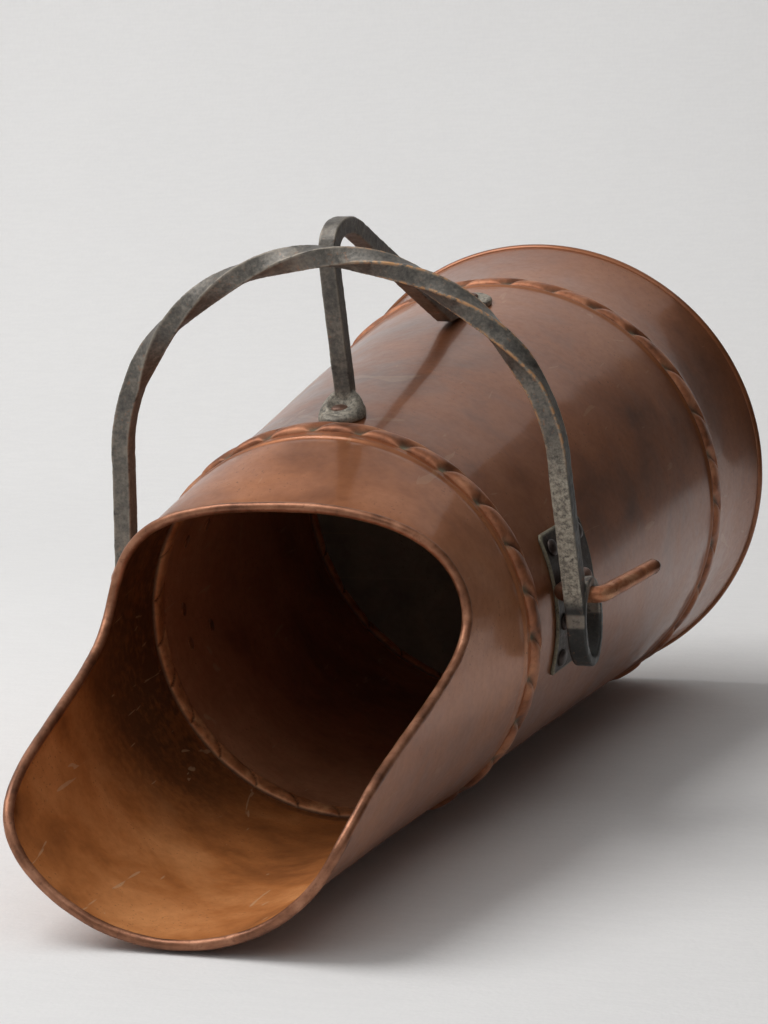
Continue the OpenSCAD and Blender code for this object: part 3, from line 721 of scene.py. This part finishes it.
def make_ear(name, node, side, mat):
    """Curved plate on the barrel with clipped, worn corners and bevelled edges."""
    mid_z = BAND_Z - EAR_DROP - EAR_H / 2
    clip = 2.2
    w, h = EAR_W / 2, EAR_H / 2
    corners = np.array([(w, h - clip), (w - clip, h), (-w + clip, h), (-w, h - clip),
                        (-w, -h + clip), (-w + clip, -h), (w - clip, -h), (w, -h + clip)])
    ring = []
    for p, q in zip(corners, np.roll(corners, -1, 0)):
        k = 16 if np.linalg.norm(q - p) > 10 else 3
        ring += [p + (q - p) * u for u in np.linspace(0, 1, k + 1)[:-1]]
    ring = np.array(ring)
    uneven = 1 + 0.006 * lumps(np.c_[ring, np.full(len(ring), side * 9.0)], 14, 81)
    # share of the outline, inset in millimetres, share of the thickness, beaten, worn
    layers = np.array([(0.02, 0, 0, 0, 0), (0.5, 0, 0, 0, 0), (1, 0.4, 0, 0, 0.4),
                       (1, 0, 0.3, 0, 1), (1, 0, 0.75, 0, 1), (1, 0.5, 1, 0.3, 0.9),
                       *((share, 0, 1, 1, 0) for share in (0.96, 0.75, 0.5, 0.25, 0.02))])
    rings = []
    for share, inset, lift, _, _ in layers:
        y, z = (ring * (share * (1 - inset / w)) * uneven[:, None]).T + [[0], [mid_z]]
        r = barrel_r(z) + SEAT_GAP + lift * (EAR_T - SEAT_GAP)
        rings.append(np.stack([side * np.sqrt(r ** 2 - (EAR_Y + y) ** 2), EAR_Y + y, z], 1))
    pts = np.array(rings)
    pts = outward(pts, -0.12 * np.abs(lumps(pts, 7, 83)) * layers[:, 3, None])
    edge = np.repeat(layers[:, 4], len(ring))
    obj = grid_object(name, pts, loop_u=False, caps=True,
                      attrs={"edge": edge, "crust": 0.5 * edge})
    finish_piece(obj, mat, [node])


def make_hook(name, node, side, mat):
    """Rod bent twice: a shank brazed to the plate, the pin, and the long tail."""
    pin_end = EYE_X + BAIL_BAR / 2 + REST_GAP
    shank, pin = np.linspace(SHANK_L, 1, 26), np.linspace(PIN_X + 1, pin_end - 1, 12)
    bend = np.linspace(90 + TAPER_DEG, 0, 14)
    # the tail bends down, then runs straight on
    turn = np.r_[np.linspace(0, TAIL_TURN, 14), np.full(36, TAIL_TURN)]
    ahead = np.r_[np.zeros(14), np.linspace(1.5, TAIL_L, 36)]
    tail_x = pin_end + TAIL_BEND * sin(turn) + cos(TAIL_TURN) * ahead
    tail_y, tail_z = turned(0, TAIL_BEND * (cos(turn) - 1) - sin(TAIL_TURN) * ahead, TAIL_SWING)
    x = np.r_[SHANK_X + sin(TAPER_DEG) * shank, PIN_X - HOOK_BEND * sin(bend), pin, tail_x]
    y = np.r_[0 * shank, 0 * bend, 0 * pin, tail_y]
    z = np.r_[SHANK_TOP - PIVOT_Z - cos(TAPER_DEG) * shank, HOOK_BEND * (cos(bend) - 1), 0 * pin,
              tail_z]
    line = np.stack([x, y, z], 1)
    run, worn, worn_l = run_along(line), 0.07, 40
    radius = ROD_R * (1 - worn * smooth(run, run[-1] - worn_l, run[-1]))
    # round ends
    ends = np.linspace(0, 86, 8)
    cap_0 = line[0] + unit(line[0] - line[1]) * ROD_R * sin(ends[::-1])[:, None]
    cap_1 = line[-1] + unit(line[-1] - line[-2]) * radius[-1] * sin(ends)[:, None]
    line = np.concatenate([cap_0, line[1:-1], cap_1])
    radius = np.r_[ROD_R * cos(ends[::-1]), radius[1:-1], radius[-1] * cos(ends)]
    a = even_angles(ROD_STEPS)
    pts = sweep(line, radius[:, None, None] * np.stack([cos(a), sin(a)], 1), Y_AXIS)
    free = smooth(line[:, 0], pin_end + 1, pin_end + 5)[:, None]
    beat = 0.22 * lumps(pts, 8, 91 + side) * free + 0.05 * lumps(pts, 3, 93)
    pts = pts + unit(pts - line[:, None, :] + 1e-9) * (beat - 0.05)[..., None]
    pts = pts * [side, 1, 1] + [0, PIVOT_Y, PIVOT_Z]
    last = len(line)
    tip = np.maximum(smooth(np.arange(last), last - 16, last - 3),
                     0.9 * smooth(-line[:, 0], -PIN_X - 3, -PIN_X + 1))
    obj = grid_object(name, pts, loop_u=False, caps=True,
                      attrs={"tip": np.repeat(tip, ROD_STEPS)})
    finish_piece(obj, mat, [node], sharp=60)


# ---- materials

def set_stops(node, stops):
    """Places and colours of a colour ramp."""
    elements = node.color_ramp.elements
    for element, (place, colour) in zip(elements, (stops[0], stops[-1])):
        element.position, element.color = place, (*colour, 1)
    for place, colour in stops[1:-1]:
        elements.new(place).color = (*colour, 1)


class Paint:
    """A node material around one Principled shader."""

    def __init__(self, name, **constants):
        self.material = bpy.data.materials.new(name)
        self.material.use_nodes = True
        self.tree = self.material.node_tree
        self.tree.nodes.clear()
        self.out = self.node("OutputMaterial")
        self.shader = self.node("BsdfPrincipled")
        self.join(self.shader.outputs[0], self.out.inputs["Surface"])
        for key, value in constants.items():
            self.shader.inputs[key.replace("_", " ")].default_value = value
        self.coords = self.made("TexCoord", {}, "Object")

    def node(self, kind):
        return self.tree.nodes.new("ShaderNode" + kind)

    def join(self, a, b):
        self.tree.links.new(a, b)

    def feed(self, node, inputs):
        """Gives a node's inputs their values, or joins other nodes' outputs to them."""
        for key, value in inputs.items():
            socket = node.inputs[key]
            if hasattr(value, "is_linked"):
                self.join(value, socket)
            elif isinstance(value, (tuple, list)) and len(value) == 3 and socket.type == "RGBA":
                socket.default_value = (*value, 1)
            else:
                socket.default_value = value

    def made(self, kind, inputs, out=0, **settings):
        """One output of a new node, once its settings and inputs are given."""
        node = self.node(kind)
        for key, value in settings.items():
            setattr(node, key, value)
        self.feed(node, inputs)
        return node.outputs[out]

    def stretched(self, scale, turn=(0, 0, 0)):
        return self.made("Mapping", {"Vector": self.coords, "Scale": scale,
                                     "Rotation": [math.radians(t) for t in turn]})

    def noise(self, scale, detail=4, rough=0.55, warp=0.0, vector=None):
        return self.made("TexNoise", {
            "Vector": vector or self.coords, "Scale": scale, "Detail": detail,
            "Roughness": rough, "Distortion": warp}, "Fac")

    def attr(self, name):
        return self.made("Attribute", {}, "Fac", attribute_name=name)

    def range(self, value, low, high, to_low=0.0, to_high=1.0):
        return self.made("MapRange", {
            "Value": value, "From Min": low, "From Max": high,
            "To Min": to_low, "To Max": to_high}, interpolation_type="SMOOTHSTEP")

    def math(self, kind, a, b):
        return self.made("Math", {0: a, 1: b}, operation=kind)

    def times(self, a, b):
        return self.math("MULTIPLY", a, b)

    def plus(self, a, b):
        return self.math("ADD", a, b)

    def mix(self, share, a, b, kind="MIX"):
        return self.made("Mix", {"Factor": share, 6: a, 7: b}, 2, data_type="RGBA",
                         blend_type=kind)

    def ramp(self, value, places, colours):
        node = self.node("ValToRGB")
        self.feed(node, {0: value})
        set_stops(node, list(zip(places, colours)))
        return node.outputs[0]

    def bump(self, height, strength, distance, before=None):
        under = {} if before is None else {"Normal": before}
        return self.made("Bump", {"Strength": strength, "Distance": distance,
                                  "Height": height, **under})

    def surface(self, colour, rough, normal, **more):
        self.feed(self.shader, {"Base Color": colour, "Roughness": rough, "Normal": normal})
        self.feed(self.shader, {key.replace("_", " "): value for key, value in more.items()})
        return self.material

    def clear_where(self, share):
        """Makes the painted surface transparent by a share."""
        choose = self.node("MixShader")
        self.feed(choose, {0: share, 1: self.shader.outputs[0],
                           2: self.made("BsdfTransparent", {})})
        self.join(choose.outputs[0], self.out.inputs["Surface"])

    def camera_rays(self):
        return self.made("LightPath", {}, "Is Camera Ray")


def rgb(r, g, b):
    """A colour written in screen values from 0 to 255."""
    return tuple((v / 255 / 12.92) if v < 10 else ((v / 255 + 0.055) / 1.055) ** 2.4
                 for v in (r, g, b))


def shades(*colours):
    return [rgb(*colour) for colour in colours]


def copper_paint(name, outer, inner, rough=(0.32, 0.42), metal=0.55):
    """Brown-patinated sheet copper. outer and inner are (dark, middle, light) colours."""
    p = Paint(name, Coat_Roughness=0.1, Coat_IOR=1.55, Specular_IOR_Level=0.3)
    inner_metal, inner_rough, coat = 0.3, 0.52, 0.4
    inside = p.attr("inside")
    broad = p.noise(6.5, 3, 0.5, 0.6)
    patch = p.noise(27, 6, 0.62, 0.4)
    grain = p.noise(240, 5, 0.6)
    pit = p.noise(620, 2, 0.5)
    tone = p.plus(p.times(broad, 0.6), p.times(patch, 0.4))
    colour = p.mix(inside, p.ramp(tone, (0.36, 0.5, 0.64), outer),
                   p.ramp(tone, (0.36, 0.5, 0.62), inner))
    colour = p.mix(p.range(grain, 0.35, 0.7, 0.0, 0.25), colour, (0.62, 0.56, 0.52), "MULTIPLY")
    # painted shade where the mesh marks it, mottled by the patches and grain
    painted_shade = p.times(p.attr("painted_shade"), p.range(p.plus(p.times(patch, 0.6), p.times(grain, 0.4)),
                                           0.36, 0.56, 0.35, 0.85))
    colour = p.mix(painted_shade, colour, rgb(70, 44, 28))
    dark_spots = p.times(p.range(pit, 0.64, 0.72), p.range(patch, 0.45, 0.6, 0.0, 0.45))
    colour = p.mix(dark_spots, colour, rgb(52, 36, 28))
    scratch = p.range(p.noise(5, 2, 0.4, 1.2, p.stretched((1, 42, 5), (20, 35, 15))), 0.715, 0.735)
    scratch_2 = p.range(p.noise(4, 2, 0.4, 1.0, p.stretched((36, 1.2, 6), (-15, 25, 60))),
                        0.72, 0.74)
    lines = p.times(p.math("MAXIMUM", scratch, scratch_2), p.range(inside, 0, 1, 0.12, 0.45))
    colour = p.mix(lines, colour, rgb(206, 176, 142))
    outside_rough = p.plus(p.range(patch, 0.35, 0.65, *rough),
                           p.times(p.math("SUBTRACT", grain, 0.5), 0.14))
    roughness = p.plus(outside_rough, p.times(inside, inner_rough - rough[0]))
    normal = p.bump(patch, 0.08, 0.0016)
    normal = p.bump(p.noise(95, 3, 0.5), 0.12, 0.0006, normal)
    normal = p.bump(grain, 0.08, 0.0003, normal)
    normal = p.bump(lines, -0.25, 0.0002, normal)
    return p.surface(colour, roughness, normal, Metallic=p.range(inside, 0, 1, metal, inner_metal),
                     Coat_Weight=p.range(inside, 0, 1, coat, 0.0))


def edge_paint(name, browns, rough=(0.34, 0.5), tip_colour=(50, 38, 33)):
    """Worn copper that handling keeps half bare: the rolled rim, rivets and hooks."""
    p = Paint(name, Metallic=0.6)
    patch = p.noise(48, 5, 0.6, 0.5)
    blot = p.noise(130, 4, 0.6, 0.3)
    grain = p.noise(420, 4, 0.6)
    tone = p.plus(p.times(patch, 0.55), p.times(blot, 0.45))
    colour = p.ramp(tone, (0.34, 0.5, 0.63), browns)
    colour = p.mix(p.range(grain, 0.56, 0.72, 0.0, 0.55), colour, browns[0])
    colour = p.mix(p.times(p.attr("tip"), 0.85), colour, rgb(*tip_colour))
    roughness = p.plus(p.range(patch, 0.35, 0.65, *rough),
                       p.times(p.math("SUBTRACT", grain, 0.5), 0.2))
    normal = p.bump(blot, 0.22, 0.0008)
    normal = p.bump(grain, 0.16, 0.0003, normal)
    return p.surface(colour, roughness, normal)


def rope_paint(name):
    """Rope band: orange-brown strands, painted shadow in the seams, painted highlights along the
    edges and verdigris recesses.
    """
    p = Paint(name)
    inside = p.attr("inside")
    patch = p.noise(60, 5, 0.6, 0.4)
    grain = p.noise(360, 4, 0.6)
    strands = p.ramp(patch, (0.34, 0.5, 0.64), shades((120, 74, 50), (166, 106, 74),
                                                      (190, 132, 98)))
    hollow = p.ramp(patch, (0.36, 0.5, 0.62), shades((158, 100, 62), (200, 138, 94),
                                                     (222, 168, 122)))
    colour = p.mix(inside, strands, hollow)
    colour = p.mix(p.range(grain, 0.5, 0.75, 0.0, 0.4), colour, rgb(92, 62, 46))
    # the seams carry painted shadow in the grooves between strands
    seam = p.attr("seam")
    colour = p.mix(p.times(seam, 0.85), colour, rgb(44, 31, 23))
    ragged = p.range(p.noise(190, 4, 0.7), 0.3, 0.62)
    recess = p.times(p.attr("recess"), ragged)
    colour = p.mix(recess, colour, rgb(124, 120, 100))
    # painted highlight along the strands' edges
    painted_highlight = p.times(p.attr("painted_highlight"), p.range(p.noise(140, 3), 0.32, 0.6))
    colour = p.mix(p.times(painted_highlight, 0.75), colour, rgb(206, 178, 152))
    roughness = p.plus(p.range(patch, 0.35, 0.65, 0.4, 0.54),
                       p.plus(p.times(recess, 0.3), p.times(seam, 0.15)))
    normal = p.bump(patch, 0.2, 0.0006)
    normal = p.bump(grain, 0.2, 0.0003, normal)
    return p.surface(colour, roughness, normal, Metallic=p.range(inside, 0, 1, 0.5, 0.3))


def iron_paint(name, scale, crusts, metal=0.55, rust_share=1.0):
    """Forged iron: scale, bare and rusty edges, painted shade and a painted sheen where a piece
    marks them, and pale dry crust.
    """
    p = Paint(name, Metallic=metal)
    patch = p.noise(45, 6, 0.65, 0.3)
    blot = p.noise(210, 5, 0.65)
    grain = p.noise(620, 4, 0.6)
    tone = p.plus(p.times(patch, 0.3), p.plus(p.times(blot, 0.4), p.times(grain, 0.3)))
    colour = p.ramp(tone, (0.38, 0.5, 0.62), scale)
    # shade darkens the scale: the bail's darker eyes and painted shade on its right leg's
    # turned-away faces
    colour = p.mix(p.times(p.attr("shade"), 0.8), colour, rgb(52, 55, 55))
    # edge: bare worn edges, and on the bail also the painted sheen on its right eye
    worn = p.times(p.attr("edge"), p.range(blot, 0.34, 0.52))
    colour = p.mix(p.times(worn, 0.5), colour, rgb(164, 154, 140))
    rust = p.times(p.range(p.noise(390, 5, 0.7), 0.57, 0.66), p.range(patch, 0.46, 0.66, 0.1, 0.7))
    colour = p.mix(p.times(rust, rust_share), colour, rgb(156, 112, 84))
    fleck = p.times(p.attr("fleck"), p.range(p.noise(280, 4, 0.7), 0.44, 0.54))
    colour = p.mix(p.times(fleck, 0.8), colour, rgb(204, 152, 102))
    dust = p.noise(430, 6, 0.78)
    crust = p.times(p.attr("crust"), p.range(p.plus(p.times(blot, 0.2), p.times(dust, 0.8)),
                                             0.34, 0.52))
    colour = p.mix(crust, colour, p.mix(p.range(dust, 0.36, 0.64), *crusts))
    roughness = p.plus(p.range(blot, 0.35, 0.65, 0.40, 0.58), p.times(crust, 0.25))
    normal = p.bump(blot, 0.3, 0.0007)
    normal = p.bump(grain, 0.3, 0.0004, normal)
    normal = p.bump(crust, 0.4, 0.0004, normal)
    return p.surface(colour, roughness, normal)


def cloth_paint(name, colour):
    """Pale woven cloth, seen from its lit side only."""
    p = Paint(name, Specular_IOR_Level=0.1)
    weave_u = p.noise(420, 2, 0.4, 0.0, p.stretched((1, 0.12, 1)))
    weave_v = p.noise(420, 2, 0.4, 0.0, p.stretched((0.12, 1, 0.4)))
    weave = p.plus(weave_u, weave_v)
    soft = p.noise(3.0, 3, 0.5)
    tone = p.mix(p.range(weave, 0.7, 1.3, 0.0, 0.05), colour, (0.45, 0.45, 0.46))
    tone = p.mix(p.range(soft, 0.35, 0.65, 0.0, 0.05), tone, (0.5, 0.5, 0.52))
    p.surface(tone, 0.95, p.bump(weave, 0.25, 0.0006))
    p.clear_where(p.times(p.made("NewGeometry", {}, "Backfacing"), p.camera_rays()))
    return p.material


# ---- the scuttle

OUT_BROWN = shades((108, 64, 39), (146, 89, 55), (166, 107, 70))
# NECK_BROWN: the neck's own more orange copper, lightened as painted sheen for its reflection of
# the bright wall behind
NECK_BROWN = shades((130, 78, 48), (170, 108, 70), (190, 128, 88))
# IN_BROWN: the inside's own orange-brown, raised as painted light to lift the shaded inside of
# neck and lip
IN_BROWN = shades((120, 70, 36), (186, 118, 64), (212, 146, 90))
DEEP_BROWN = shades((150, 98, 68), (190, 134, 98), (206, 152, 116))
SOOTY = shades((98, 98, 88), (130, 127, 113), (156, 148, 126))
RIM_BROWN = shades((96, 60, 42), (144, 96, 70), (172, 122, 94))
RIVET_BROWN = shades((66, 50, 44), (112, 82, 68), (146, 112, 94))
DULL_BROWN = shades((38, 32, 30), (62, 52, 48), (84, 72, 66))
HOOK_BROWN = shades((108, 66, 44), (172, 110, 76), (210, 164, 128))
SCALE = shades((70, 68, 65), (100, 96, 90), (134, 127, 117))
# PLATE_SCALE_AND_SHADE: partly the plates' own dark scale, partly painted shade from the bail's
# leg beside them
PLATE_SCALE_AND_SHADE = shades((34, 27, 23), (48, 39, 33), (64, 54, 46))
WIRE_SCALE = shades((34, 32, 30), (52, 50, 48), (70, 66, 62))
CRUST = shades((130, 123, 112), (194, 186, 170))
PLATE_CRUST = shades((112, 108, 84), (158, 154, 128))

sheet = copper_paint("patinated_copper", OUT_BROWN, DEEP_BROWN)
neck = copper_paint("patinated_neck_copper", NECK_BROWN, IN_BROWN)
bottom = copper_paint("dull_bottom_copper", SOOTY, SOOTY, rough=(0.5, 0.7), metal=0.2)
edge_copper = edge_paint("worn_rim_copper", RIM_BROWN)
rivet_copper = edge_paint("rivet_copper", RIVET_BROWN)
ear_rivet_copper = edge_paint("dull_rivet_copper", DULL_BROWN, tip_colour=(190, 134, 98))
hook_copper = edge_paint("hook_copper", HOOK_BROWN, rough=(0.28, 0.42))
rope = rope_paint("rope_band_copper")
iron = iron_paint("forged_iron", SCALE, CRUST)
plate_iron = iron_paint("ear_plate_iron", PLATE_SCALE_AND_SHADE, PLATE_CRUST, metal=0.4, rust_share=0.3)
wire_iron = iron_paint("edge_wire_iron", WIRE_SCALE, CRUST)

make_foot(sheet)
make_roll(sheet)
make_barrel(sheet)
make_bottom(bottom)
make_rope("base_rope", "base_band", BASE_R, FOOT_H, BASE_STRAND, rope, 5)
make_rope("mouth_rope", "mouth_band", MOUTH_R, BAND_Z, MOUTH_STRAND, rope, 6)
make_scoop(neck)
make_rim(edge_copper)
make_handle(iron)
make_bail(iron)
handle_rivet_z, _ = handle_feet()
make_rivets("handle_rivet_heads", "handle_rivets", [(90, z) for z in handle_rivet_z],
            PAD_T + SEAT_GAP, rivet_copper)
for side_name, side_sign in (("left", -1), ("right", 1)):
    make_ear(side_name + "_ear", side_name + "_ear_plate", side_sign, plate_iron)
    make_rivets(side_name + "_ear_rivet_heads", side_name + "_ear_rivets",
                ear_places(side_sign), EAR_T + SEAT_GAP, ear_rivet_copper)
    make_hook(side_name + "_hook_rod", side_name + "_hook", side_sign, hook_copper)

for wire in ("foot_wire", "rim_wire"):
    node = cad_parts[wire]
    node.data.materials.clear()
    node.data.materials.append(wire_iron)

# ---- floor and backdrop

# Where the lying scuttle's foot and lip touch the floor
FLOOR_A, FLOOR_B = np.array([0, -135.5, 0.0]), np.array([0, -84.3, 600.0])
floor_dir = unit(FLOOR_B - FLOOR_A)
floor_up = np.array([0, floor_dir[2], -floor_dir[1]])


def make_cloth(mat):
    """Floor under the lying scuttle, swept up into a backdrop behind its foot."""
    lip_side, foot_side, sweep_r, sweep_turn, climb_l = 2600, -420, 700.0, 88, 2200
    left, right = -2600, 1500
    line = [FLOOR_A + floor_dir * s for s in np.linspace(lip_side, foot_side, 40)]
    centre = line[-1] + floor_up * sweep_r
    line += [centre - floor_dir * sweep_r * sin(w) - floor_up * sweep_r * cos(w)
             for w in np.linspace(0, sweep_turn, 24)[1:]]
    last, climb = line[-1], unit(line[-1] - line[-2])
    line = np.array(line + [last + climb * s for s in np.linspace(100, climb_l, 16)])
    x = np.linspace(left, right, 70)
    pts = np.stack(np.broadcast_arrays(x, line[:, 1, None], line[:, 2, None]), 2)
    obj = grid_object("cloth_floor", pts, loop_u=False, loop_v=False)
    mesh = obj.data
    mesh.materials.append(mat)
    mesh.shade_smooth()
    # the lit side looks towards the scuttle
    middle = mesh.polygons[len(mesh.polygons) // 8]
    if middle.normal.dot(Vector(floor_up)) < 0:
        mesh.flip_normals()


make_cloth(cloth_paint("pale_cloth", (0.80, 0.796, 0.792)))


def make_card():
    """Dark card right of the camera's frame: only the polished sheet mirrors it."""
    a = np.linspace(0, 1, 24)
    foot = np.stack([460 + 60 * a, np.full(len(a), -100.0), 700 - 2100 * a], 1)
    top = foot + np.stack([0 * a, 540 + 380 * a, 0 * a], 1)
    obj = grid_object("dark_card", np.stack([foot, top], 1), loop_u=False, loop_v=False)
    p = Paint("dark_card", Roughness=0.9, Base_Color=(0.05, 0.04, 0.035, 1))
    p.clear_where(p.camera_rays())
    obj.data.materials.append(p.material)


make_card()

# ---- light

def make_room(away, towards, top):
    """Soft room light: pale on the window's side, dim on the far side."""
    world = bpy.data.worlds.new("studio")
    bpy.context.scene.world = world
    world.use_nodes = True
    tree = world.node_tree
    back = tree.nodes["Background"]
    coords = tree.nodes.new("ShaderNodeTexCoord")
    dot = tree.nodes.new("ShaderNodeVectorMath")
    dot.operation = "DOT_PRODUCT"
    dot.inputs[1].default_value = Vector(top).normalized()
    ramp = tree.nodes.new("ShaderNodeValToRGB")
    ramp.color_ramp.interpolation = "EASE"
    set_stops(ramp, ((0.12, away), (0.72, towards)))
    half = tree.nodes.new("ShaderNodeMath")
    half.operation = "MULTIPLY_ADD"
    half.inputs[1].default_value = half.inputs[2].default_value = 0.5
    tree.links.new(coords.outputs["Generated"], dot.inputs[0])
    tree.links.new(dot.outputs["Value"], half.inputs[0])
    tree.links.new(half.outputs[0], ramp.inputs[0])
    tree.links.new(ramp.outputs[0], back.inputs["Color"])


make_room((0.10, 0.095, 0.09), (0.40, 0.40, 0.40), (-0.5, 0.8, -0.35))


def lamp(name, place, aim, size, power, colour=(1, 1, 1)):
    data = bpy.data.lights.new(name, "AREA")
    data.shape = "RECTANGLE"
    data.size, data.size_y = size
    data.energy = power
    data.color = colour
    obj = new_object(name, data)
    obj.location = place
    obj.rotation_mode = "QUATERNION"
    obj.rotation_quaternion = (Vector(place) - Vector(aim)).to_track_quat("Z", "Y")


lamp("window", (-1.2, 2.0, 0.5), (0, 0, 0.3), (1.8, 1.4), 41, (1.0, 0.99, 0.98))
lamp("fill", (0.4, 1.9, 1.6), (0, 0, 0.35), (1.8, 1.2), 6)

# ---- camera

# Sensor in millimetres, focal length and picture height in pixels, from the fit to the photo
SENSOR, FOCAL_PIXELS, PICTURE_PIXELS = 36, 3000, 1024
RIGHT = Vector((0.944336, -0.060721, -0.323330))
UP = Vector((-0.017222, 0.972347, -0.232905))
BACK = Vector((0.328531, 0.225508, 0.917177))
PLACE = Vector((0.509399, 0.389898, 1.720498))
camera_data = bpy.data.cameras.new("camera")
camera_data.sensor_width = SENSOR
camera_data.sensor_fit = "AUTO"
camera_data.lens = FOCAL_PIXELS / PICTURE_PIXELS * SENSOR
camera_data.clip_start, camera_data.clip_end = 0.01, 50
camera = new_object("camera", camera_data)
turn = Matrix((RIGHT, UP, BACK)).transposed()
camera.matrix_world = Matrix.Translation(PLACE) @ turn.to_4x4()
bpy.context.scene.camera = camera

bpy.context.scene.view_settings.view_transform = "Standard"
